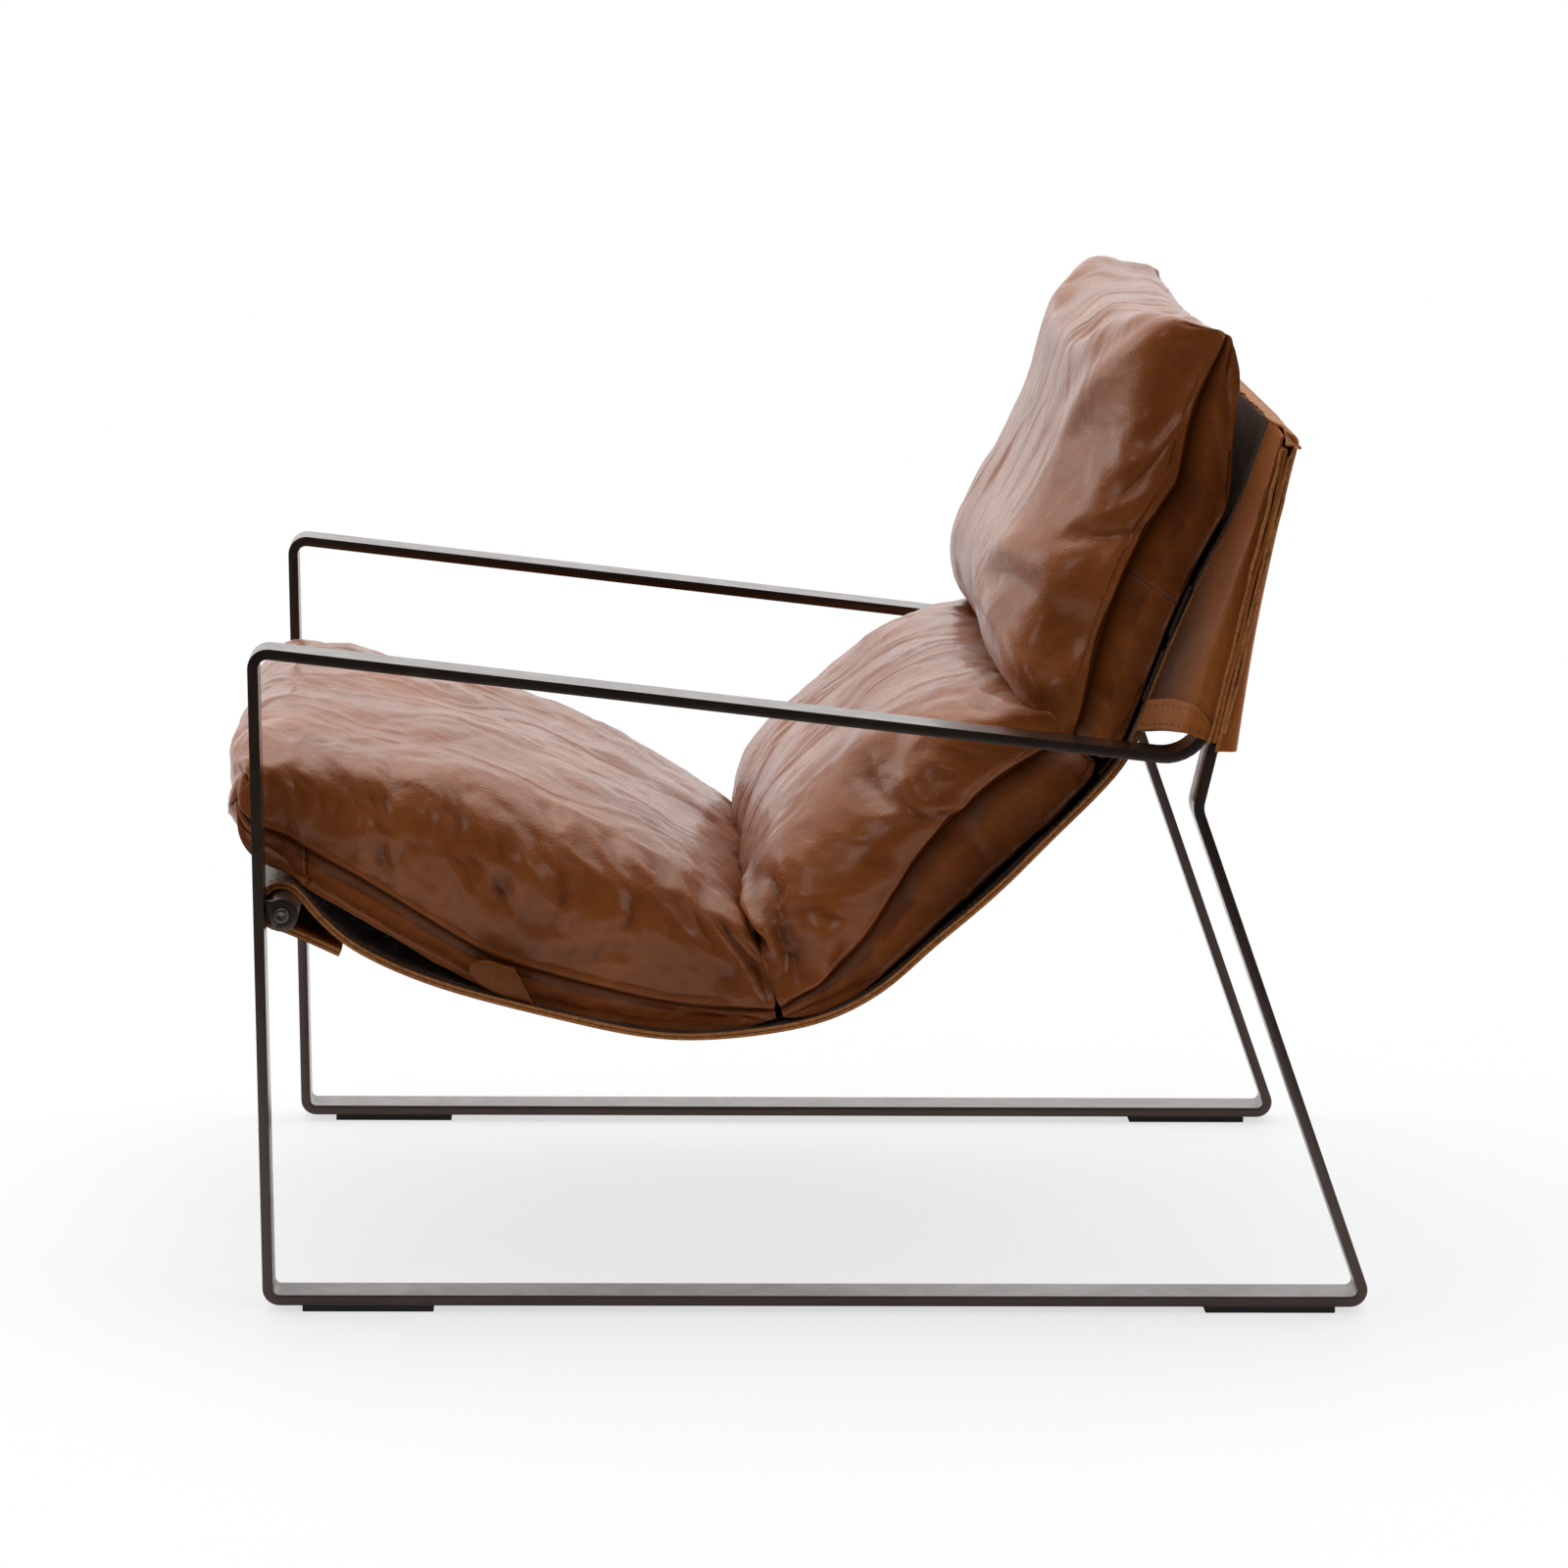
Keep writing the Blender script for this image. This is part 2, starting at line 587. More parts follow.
class CushionSettings(bpy.types.PropertyGroup):
    width: length_setting("Width", "Width of the cushions over their side seams", 0.59)
    wrinkle_depth: length_setting("Wrinkle depth", "Depth of the long wrinkles on top", 0.0016)
    wrinkle_count: bpy.props.IntProperty(
        name="Wrinkles", description="Long wrinkles on each cushion", default=46, min=0)
    seam_depth: length_setting("Seam depth", "Depth of the groove along the seams", 0.0032)
    cloth_step: length_setting("Cloth step", "Distance between the points of the settling leather", 0.0085)
    cloth_limit: length_setting("Cloth limit", "The farthest that the settling leather may move", 0.011)
    spare_width: share_setting("Spare width", "How much wider a top panel is cut than its place", 0.1)
    spare_length: share_setting("Spare length", "How much longer a top panel is cut than its place", 0.055)
    filling_pressure: share_setting("Filling pressure", "Pressure of the filling under a top panel", 3.5)
    pale_colour: colour_setting("Pale colour", "Colour of the stretched leather", "#9c5724")
    middle_colour: colour_setting("Middle colour", "Main colour of the cushions", "#86451a")
    dark_colour: colour_setting("Dark colour", "Colour of the oiled ground", "#652f0e")
    boxing_colour: colour_setting("Boxing colour", "Colour deep below the side seams", "#1c0a04")


class StageSettings(bpy.types.PropertyGroup):
    floor_colour: colour_setting("Floor colour", "Colour of the floor", "#e6e6e8")
    lamp_power: bpy.props.FloatProperty(name="Lamp power", description="Power of the large lamp overhead",
                                        default=19.0, min=0, unit="POWER")


class SlingChairSettings(bpy.types.PropertyGroup):
    steel: bpy.props.PointerProperty(type=SteelSettings)
    leather: bpy.props.PointerProperty(type=LeatherSettings)
    cushions: bpy.props.PointerProperty(type=CushionSettings)
    stage: bpy.props.PointerProperty(type=StageSettings)


# ---------------------------------------------------------------- steel


class CHAIR_OT_steel_frame(bpy.types.Operator):
    """Eases the edges of both side loops, the rail and the floor pads and gives them their coat"""

    bl_idname = "sling_chair.steel_frame"
    bl_label = "Steel frame"

    def execute(self, context):
        steel = context.scene.sling_chair.steel
        coat = shared("Dark bronze coated steel", bronze_powder_coat, steel.bar_colour)
        rubber = shared("Black moulded rubber", pad_rubber, steel.pad_colour)
        edge = steel.bar_edge / MM
        for side in SIDES:
            eased_copy(f"side_loop_{side}", f"loop_bar_{side}", coat, edge, "bronze_steel")
            for end in ("front", "rear"):
                eased_copy(f"{end}_pad_{side}", f"{end}_foot_{side}", rubber, edge, "floor_pad")
        eased_copy("back_rail", "top_rail", coat, edge, "bronze_steel")
        return {"FINISHED"}


class CHAIR_OT_front_rod(bpy.types.Operator):
    """Finishes the front rod with its lugs, end plugs and bolts"""

    bl_idname = "sling_chair.front_rod"
    bl_label = "Front rod"

    def execute(self, context):
        steel = context.scene.sling_chair.steel
        coat = shared("Dark bronze coated steel", bronze_powder_coat, steel.bar_colour)
        plated = shared("Blackened plated steel", plated_steel, steel.bolt_colour)
        eased_copy("front_rod", "rod_tube", coat, 0.25, "bronze_steel")
        for side in SIDES:
            eased_copy(f"rod_lug_{side}", f"rod_ear_{side}", coat, 0.5, "bronze_steel")
            eased_copy(f"rod_bolt_{side}", f"socket_bolt_{side}", plated, 0.2, "fixing_steel")
            eased_copy(f"rod_plug_{side}", f"tube_plug_{side}", plated, 0.3, "fixing_steel")
        return {"FINISHED"}


# ---------------------------------------------------------------- sling and pocket


def edge_columns(low, high, fine=1.2, coarse=26.0, zone=22.0):
    """Places across a sheet, close together near both edges."""
    inner = np.linspace(low + zone, high - zone, int((high - low - 2 * zone) / coarse) + 1)
    near = low + np.linspace(0, 1, int(zone / fine / 2) + 1)[:-1] ** 1.3 * zone
    return np.concatenate([near, inner, (low + high) - near[::-1]])


SLING_ROWS = 330


class CHAIR_OT_sling(bpy.types.Operator):
    """Hangs the two layers of the leather sling from the rod to the top of the back"""

    bl_idname = "sling_chair.sling"
    bl_label = "Sling"

    def execute(self, context):
        settings = context.scene.sling_chair.leather
        line = along(sling_line(), np.linspace(0, 1, SLING_ROWS))
        normals = left_normals(line)
        y = edge_columns(SLING_EDGE, CHAIR_WIDTH - SLING_EDGE)
        at = np.linspace(0, length_of(line), SLING_ROWS)
        near = np.minimum(y - y[0], y[-1] - y)
        wave = settings.edge_wave / MM * np.exp(-near / 30.0)[None, :]
        wander = waves(tuple(np.meshgrid(at, y, indexing="ij")), 5, 14, 70, 260) * wave
        inset = settings.stitch_inset / MM
        for name, sign, seed, skin in (("sling_upper", 1, 11, face_leather(settings)),
                                       ("sling_under", -1, 12, hide_leather(settings))):
            # the two cut edges don't quite line up
            slip = waves((at, at * 0), seed, 10, 60, 400) * 0.7
            cols = y[None, :] + slip[:, None] * np.exp(-near / 6.0)[None, :] * np.sign(CHAIR_WIDTH / 2 - y)[None, :]
            up = wander + sign * (STACK_HALF - LEATHER / 2)
            grid = np.stack([line[:, :1] + normals[:, :1] * up, cols, line[:, 1:] + normals[:, 1:] * up], -1)
            piece, flat = leather_sheet(name + "_hide", to_frame(grid), LEATHER - SLACK, skin, raw_edge(settings))
            place(piece, "chair_frame", "sling_leather", name)
            # stitch lines run beside both edges on the outer side of each layer
            out = np.stack([normals[:, 0], normals[:, 0] * 0, normals[:, 1]], 1) * (LEATHER / 2 * sign)
            for column in np.searchsorted(y, [y[0] + inset, y[-1] - inset]):
                sew((grid[:, column] + out)[12:])
        return {"FINISHED"}


GUSSET_SKIN = LEATHER / 2 + FIT_GAP
ARCH_HEIGHT = 449.98
ARCH_RISE = 6.0
ARCH_SHARES = np.array([-1.7, -1.0, -0.8, -1.7, -1.8, -1.8])
CORNER_DROP = 15.0
FACING_HEIGHT = 24.0
FACING_LEATHER = 2.0
SEAM_WELT = 2.4
TOP_WELT = 2.2
PANEL_LOW = 432.0
KEEPER_LENGTH = 38.0
KEEPER_WIDTH = 13.0


def gusset_section(z, climb):
    seam = upright_rear(z) - 4.0 - GUSSET_SKIN
    corner = upright_front(z) - GUSSET_SKIN - 16.0 * (1 - climb)
    front = min(float(sling_face(z)) + LEATHER / 2, corner)
    return np.array([
        (front, SLING_EDGE - LEATHER / 2), ((front + corner) / 2, BAR_WIDTH / 2), (corner, -GUSSET_SKIN),
        (seam - 4.0, -GUSSET_SKIN), (seam - LEATHER / 3, -GUSSET_SKIN - LEATHER / 3), (seam, -GUSSET_SKIN - 7.0),
    ])


def gusset_grid():
    """Coarse grid of the left gusset, from its arched lower edge to the pocket's mouth."""
    grid = []
    for climb in np.linspace(0, 1, 11):
        level = ARCH_HEIGHT + (SLING_TOP - ARCH_HEIGHT) * climb
        section = gusset_section(level, climb)
        z = level + ARCH_RISE * ARCH_SHARES * (1 - climb)
        z = z - CORNER_DROP * np.array([0, 0.05, 0.35, 0.85, 0.95, 1]) * np.clip(climb * 11 - 10, 0, 1)
        grid.append(np.stack([section[:, 0] + (z - level) * math.tan(UPRIGHT_LEAN), section[:, 1], z], 1))
    return np.array(grid)


def refined(grid, rows, steps):
    """A finer grid: evenly many rows, and steps between each pair of columns, with softened corners."""
    across = np.concatenate([np.linspace(j, j + 1, n, endpoint=False) for j, n in enumerate(steps)] + [[len(steps)]])
    index = np.arange(grid.shape[1])
    fine = np.stack([[np.interp(across, index, row[:, i]) for i in range(3)] for row in grid]).transpose(0, 2, 1)
    down = np.linspace(0, len(grid) - 1, rows)
    out = np.stack([[np.interp(down, np.arange(len(grid)), fine[:, j, i]) for i in range(3)]
                    for j in range(fine.shape[1])]).transpose(2, 0, 1)
    for _ in range(3):
        out = softened(out, 1)
    return out


def grid_normals(grid):
    n = np.cross(np.gradient(grid, axis=0), np.gradient(grid, axis=1))
    return n / np.maximum(np.linalg.norm(n, axis=-1), 1e-9)[..., None]


class CHAIR_OT_pocket(bpy.types.Operator):
    """Sews the pocket that slips over the uprights: side gussets, arch patches and back panel"""

    bl_idname = "sling_chair.pocket"
    bl_label = "Back pocket"

    def execute(self, context):
        settings = context.scene.sling_chair.leather
        skin, edge = hide_leather(settings), raw_edge(settings)
        for side, turn in SIDES.items():
            grid = refined(gusset_grid(), 70, (8, 8, 8, 4, 5))
            height = grid[..., 2] - ARCH_HEIGHT
            free = np.clip((grid[..., 0] - grid[:, :1, 0]) / 8, 0, 1)
            free = free * np.clip((-GUSSET_SKIN + 45 - grid[..., 1]) / 30, 0, 1)
            sag = waves(grid, 21, 10, 45, 150) * 0.7 * free * np.clip(height / 20, 0.2, 1)
            grid = grid + grid_normals(grid) * sag[..., None]
            depth = np.clip(1.1 - (grid[..., 0] - grid[:, :1, 0]) / 32, 0, 1) * np.clip(1.3 - height / 200, 0, 1)
            sewn_sheet(f"gusset_{side}", turn(to_frame(grid)), LEATHER - SLACK, skin, skin,
                       f"pocket_gusset_{side}", "stretched", [f"loop_bar_{side}"],
                       burnish=depth if side == "left" else depth[:, ::-1],
                       welts=self.seam_welts(side, turn, edge))
            # a row of stitches along the flange and one along the fold at the sling
            for column in (-4, 3):
                sew((grid - grid_normals(grid) * (LEATHER / 2))[2:-2, column], turn)
            self.patch(side, turn, skin, edge)
        self.panel(skin, edge)
        return {"FINISHED"}

    def seam_welts(self, side, turn, edge):
        """Two strips sewn into a side seam, seen by their raw edges."""
        for name, ahead, low, reach in (("front", -2.9, 438.0, 8.2), ("rear", 2.9, 446.0, 8.8)):
            z = np.linspace(low, SLING_TOP - CORNER_DROP, 90)
            x = upright_rear(z) - 4.0 + ahead + GUSSET_SKIN * np.sign(ahead)
            x = x + waves(z[:, None], 71 + len(name), 8, 25, 120) * 0.6
            grid = grid_of(x[:, None], -np.linspace(3.6, reach, 5), z[:, None])
            yield f"seam_welt_{name}_{side}", turn(to_frame(grid)), SEAM_WELT, edge, edge

    def top_welt(self, edge):
        """The raw edge of the pocket's mouth, where the back panel is sewn to the sling and to the gussets."""
        y = np.linspace(-5.0, CHAIR_WIDTH + 5.0, 400)
        from_side = np.minimum(y, CHAIR_WIDTH - y)
        inward = np.clip(from_side / SLING_EDGE, 0, 1)
        # the ends bend down and widen over the tops of the side seams
        over = np.clip((9.0 - from_side) / 14.0, 0, 1)
        over = over * over * (3 - 2 * over)
        deep = np.linspace(0, 1, 6)[:, None]
        wander = waves(y[:, None], 77, 14, 30, 160)[None, :] * 0.7
        x = (upright_front(SLING_TOP) + 1.5 - (3.0 + 7.0 * inward) * (1 - deep) + wander * (1 - deep)
             + 9.0 * over * deep)
        z = SLING_TOP + 1.4 + wander * 0.5 - 2.6 * deep ** 4 - CORNER_DROP * (0.25 * (1 - inward) ** 2 + 0.65 * over)
        return "top_welt", to_frame(grid_of(x, y, z)), TOP_WELT, edge, edge

    def patch(self, side, turn, skin, edge):
        """The facing sewn round a gusset's arched lower edge."""
        share = FACING_HEIGHT / (SLING_TOP - ARCH_HEIGHT)
        rows = []
        for t, climb in zip(np.linspace(0, 1, 4), np.linspace(0, share, 4)):
            level = ARCH_HEIGHT + (SLING_TOP - ARCH_HEIGHT) * climb
            section = gusset_section(level, climb)[:4]
            z = ARCH_HEIGHT + ARCH_RISE * ARCH_SHARES[:4] + FACING_HEIGHT * np.array([1, 1, 0.9, 0.5]) * t
            rows.append(np.stack([section[:, 0] + (z - level) * math.tan(UPRIGHT_LEAN), section[:, 1], z], 1))
        grid = refined(np.array(rows), 16, (10, 10, 10))
        normals = grid_normals(grid)
        normals *= np.sign(-normals[..., 1:2].mean())
        grid = grid + normals * (LEATHER / 2 + 1.0 + FIT_GAP)
        sewn_sheet(f"arch_facing_{side}", turn(to_frame(grid)), FACING_LEATHER, skin, edge, f"arch_patch_{side}",
                   "stretched", [f"gusset_{side}"])
        for row in (3, -4):
            sew(grid[row, 2:-2] + normals[row, 2:-2], turn)

    def panel(self, skin, edge):
        """The back panel, from its flared hem over the rail to the pocket's mouth."""
        clear = 1.2 + LEATHER / 2

        def row(x, z, flare):
            corner = GUSSET_SKIN + LEATHER / 2 + flare / 3
            seam = upright_rear(z) - 4.0 + GUSSET_SKIN
            left = np.array([(seam, -GUSSET_SKIN - 7.0), (seam + LEATHER / 3, -GUSSET_SKIN - LEATHER / 2),
                             (max(x - LEATHER, seam + LEATHER), -corner), (x, LEATHER), (x, BAR_WIDTH * 2)])
            right = left[::-1] * (1, -1) + (0, CHAIR_WIDTH)
            flat = np.vstack([left, [(x, CHAIR_WIDTH / 2)], right])
            return np.column_stack([flat, np.full(len(flat), z)])

        climbs = np.linspace(0, 1, 25)
        heights = PANEL_LOW + (UPRIGHT_HEIGHT - LEATHER - PANEL_LOW) * climbs
        flares = 11.0 * spline([1, 0.62, 0.3, 0.12, 0.03, 0], climbs)
        rows = [row(upright_rear(z) + clear + flare, z, flare) for z, flare in zip(heights, flares)]
        rows.append(row(upright_rear(UPRIGHT_HEIGHT) + clear, UPRIGHT_HEIGHT + clear, 0))
        rows.append(row(upright_front(SLING_TOP), SLING_TOP + LEATHER / 2, 0))
        coarse = np.array(rows)
        drop = CORNER_DROP * np.array([1, 0.9, 0.6, 0.15, 0, 0, 0, 0.15, 0.6, 0.9, 1])
        coarse[-1, :, 2] -= drop
        coarse[-2, :, 2] -= drop * 0.3
        grid = refined(coarse, 150, (4, 3, 5, 8, 30, 30, 8, 5, 3, 4))
        inner = np.clip((np.minimum(grid[..., 1], CHAIR_WIDTH - grid[..., 1]) - 2) / 40, 0, 1)
        hang = waves(grid * (1, 0.35, 1.6), 31, 12, 60, 170)
        fold = np.clip(hang, 0, 3) * inner * np.clip((660 - grid[..., 2]) / 30, 0, 1)
        grid = grid + np.stack([fold, fold * 0, fold * 0], -1)
        sewn_sheet("back_hide", to_frame(grid), LEATHER - SLACK, skin, edge, "back_panel", "hung",
                   ["loop_bar_left", "loop_bar_right"], welts=[self.top_welt(edge)])
        normals = grid_normals(grid)
        out = np.sign(normals[..., 0].mean())
        for r in (5, 12, -9):
            sew(grid[r, 14:-14] + normals[r, 14:-14] * out * LEATHER / 2)


class CHAIR_OT_keeper_tabs(bpy.types.Operator):
    """Adds the small leather tabs that keep the cushions in the sling, and the strips that join them"""

    bl_idname = "sling_chair.keeper_tabs"
    bl_label = "Keeper tabs"

    def execute(self, context):
        settings = context.scene.sling_chair.leather
        skin, edge, dark = hide_leather(settings), raw_edge(settings), face_leather(settings)
        for side, turn in SIDES.items():
            self.seat_tab(side, turn, skin, edge)
            for level, name in ((ARCH_HEIGHT + 12, "lower"), (ARCH_HEIGHT + FACING_HEIGHT + KEEPER_LENGTH, "upper")):
                z = np.linspace(level, level + KEEPER_LENGTH, 12)
                y = SLING_EDGE + KEEPER_WIDTH / 3 + np.linspace(0, KEEPER_WIDTH, 6)
                x = sling_face(z) - (KEEPER_LEATHER / 2 + FIT_GAP) / math.cos(UPRIGHT_LEAN * 2)
                grid = turn(to_frame(grid_of(x[:, None], y, z[:, None])))
                self.keeper(f"back_keeper_{name}_{side}", grid, dark, dark, f"back_tab_{name}_{side}")
        for under, name in (("seat", "seat_lumbar_join"), ("lumbar", "lumbar_head_join")):
            at = CUSHIONS[under]["end"] + np.linspace(-10, 10, 9) / REST_LENGTH
            base, normal = along(REST, at), left_normals(along(REST, at))
            base = base + normal * (KEEPER_LEATHER / 2 - REST_GAP + FIT_GAP)
            y = np.linspace(SLING_EDGE + 20, CHAIR_WIDTH - SLING_EDGE - 20, 41)
            self.keeper(name + "_strip", to_frame(grid_of(base[:, :1], y, base[:, 1:])), skin, edge, name,
                        body="cushion_set", slot="cushion_leather")
        return {"FINISHED"}

    def keeper(self, name, grid, skin, edge, node, **where):
        sewn_sheet(name, grid, KEEPER_LEATHER - SLACK, skin, edge, node, "laid", ["sling_upper_hide"], burnish=0.5,
                   **where)

    def seat_tab(self, side, turn, skin, edge):
        """A tab with a rounded front, bent up beside the seat cushion."""
        grid = []
        for j, full in enumerate(spline([0.5, 0.76, 0.9, 0.97, 1, 1, 1], np.linspace(0, 1, 25))):
            share = (1 - full) / 2 + (full - (1 - full) / 2) * np.linspace(0, 1, 14)
            base = along(REST, 0.19 + (52.0 - 15.0 * share) * j / 24 / REST_LENGTH)
            y = SLING_EDGE + 5.0 - 3.0 * share - 1.5 * np.sin(share * math.pi)
            grid.append(np.stack([base[:, 0], y, base[:, 1] + FIT_GAP + 25.0 * share], 1))
        grid = np.array(grid)
        self.keeper(f"seat_keeper_{side}", turn(to_frame(grid)), skin, edge, f"seat_tab_{side}")
        normals = grid_normals(grid)
        normals *= -np.sign(normals[..., 1:2].mean())
        face = grid + normals * (KEEPER_LEATHER / 2)
        rim = np.concatenate([face[3:-2, -3], face[-3, 2:-3][::-1]])
        sew(np.concatenate([face[2, 2:-3], rim]), turn)
        sew(face[-6, 2:-3], turn)


# ---------------------------------------------------------------- cushions


def oval_profile(power, half, height, fine=1.3, coarse=2.7, zone=16.0):
    """Places from rim to rim of a superellipse dome, spread by distance on its surface: the place, the
    height there and the distance."""
    theta = np.linspace(0, 1, 40001) ** 3 * math.pi / 2
    v = np.cos(theta) ** (2 / power)
    h = np.sin(theta) ** (2 / power)
    s = np.concatenate([[0], np.cumsum(np.hypot(np.diff(v) * half, np.diff(h) * height))])
    rest = np.linspace(zone, s[-1], int((s[-1] - zone) / coarse) + 1)
    at = np.concatenate([np.arange(0, zone, fine), rest])
    v, h = np.interp(at, s, v), np.interp(at, s, h)
    distance = np.concatenate([at, 2 * s[-1] - at[:-1][::-1]])
    return np.concatenate([-v, v[:-1][::-1]]), np.concatenate([h, h[:-1][::-1]]), distance


SETTLING_FRAMES = 18


def settled(grid, wide, long, pressure):
    """Lets a top panel that is cut too large settle over its filling, held along its seam.
    Gives each point's way in millimetres."""
    scene = bpy.context.scene
    rows, cols = grid.shape[:2]
    piece = new_object("top_panel", grid.reshape(-1, 3) * MM, quads(rows, cols)[:, ::-1])
    held = np.nonzero(rim_of(rows, cols))[0]
    piece.vertex_groups.new(name="Seam").add([int(k) for k in held], 1.0, "REPLACE")
    piece.shape_key_add(name="Basis")
    key = piece.shape_key_add(name="Cut")
    middle = grid.reshape(-1, 3).mean(0)
    cut = middle + (grid - middle) * (1 + long, 1 + wide, 1 + long)
    key.data.foreach_set("co", cut.ravel() * MM)
    cloth = piece.modifiers.new("Cloth", "CLOTH")
    with_settings(cloth.settings, rest_shape_key=key, quality=5, mass=0.3, tension_stiffness=40,
                  compression_stiffness=40, shear_stiffness=10, bending_stiffness=0.02,
                  vertex_group_mass="Seam", use_pressure=True, uniform_pressure_force=pressure)
    cloth.settings.effector_weights.gravity = 0
    with_settings(cloth.point_cache, frame_start=1, frame_end=SETTLING_FRAMES)
    for frame_number in range(1, SETTLING_FRAMES + 1):
        scene.frame_set(frame_number)
    evaluated(piece)
    now = np.empty(rows * cols * 3)
    piece.data.vertices.foreach_get("co", now)
    bpy.data.objects.remove(piece)
    scene.frame_set(1)
    return now.reshape(grid.shape) / MM - grid


def ridge_field(u, v, rng, count, depth, span_u, span_v):
    """Long soft wrinkles that run along u and drift a little across, in millimetres."""
    total = np.zeros(u.shape)
    for _ in range(count):
        centre = rng.uniform(-0.96, 0.96) * span_v
        start = rng.uniform(0, 1) * span_u
        reach = rng.uniform(45, 190)
        lean = rng.normal(0, 0.12)
        bow = rng.normal(0, 0.0009)
        width = rng.uniform(4.0, 12.0)
        size = depth * rng.uniform(0.35, 1.2) * (1 if rng.uniform() < 0.55 else -1)
        du = u - start
        d = (v - centre - lean * du - bow * du ** 2) / width
        total += size * (np.exp(-d ** 2) - 0.45 * np.exp(-(d / 2.1) ** 2)) * np.exp(-(du / reach) ** 4)
    return total


def crumple_field(x, y, seed):
    """Soft bulges parted by narrow creases, and narrow ridges, as in a worn hide, in millimetres."""
    total = np.zeros(x.shape)
    for step, (length, size) in enumerate(((88, 2.1), (46, 0.95), (24, 0.34))):
        level = waves((x, y * 0.8), seed + step, 14, length * 0.7, length * 1.4)
        total += size * (np.sqrt(level ** 2 + 0.012) - 0.7) * (1 if step != 1 else -1)
    return total


def fan_field(u, v, rng, corners, depth, count=9):
    """Wrinkles that fan out from the corners."""
    total = np.zeros(u.shape)
    for cu, cv, su, sv in corners:
        for k in range(count):
            angle = math.radians(8 + 74 * (k + rng.uniform(-0.35, 0.35)) / (count - 1))
            du, dv = (u - cu) * su, (v - cv) * sv
            a = du * math.cos(angle) + dv * math.sin(angle)
            b = -du * math.sin(angle) + dv * math.cos(angle)
            reach = rng.uniform(70, 190)
            width = 5.0 + 0.05 * np.clip(a, 0, None)
            fade = np.clip(a / 14, 0, 1) * np.exp(-np.clip(a, 0, None) / reach)
            total += depth * rng.uniform(0.5, 1.2) * np.exp(-(b / width) ** 2) * fade
    return total


def fold_field(x, y, points, height, width, back):
    """One named fold: a ridge (or, with a negative height, a groove) along a line of points given as
    distances along the cushion and across it from its middle, steeper on its left."""
    nearest = np.full(x.shape, 1e9)
    side, spot = np.zeros(x.shape), np.zeros(x.shape)
    line = catmull(points, np.linspace(0, 1, 40))
    run = distances(line)
    for k in range(len(line) - 1):
        a, d = line[k], line[k + 1] - line[k]
        size = max(float(np.hypot(*d)), 1e-6)
        t = np.clip(((x - a[0]) * d[0] + (y - a[1]) * d[1]) / size ** 2, 0, 1)
        px, py = x - a[0] - t * d[0], y - a[1] - t * d[1]
        gap = np.hypot(px, py)
        closer = gap < nearest
        nearest = np.where(closer, gap, nearest)
        side = np.where(closer, np.sign(d[0] * py - d[1] * px), side)
        spot = np.where(closer, (run[k] + t * size) / run[-1], spot)
    fade = np.clip(np.sin(math.pi * np.clip(spot, 0, 1)) * 1.6, 0, 1)
    return height * np.exp(-(nearest / np.where(side > 0, width, back)) ** 2) * fade


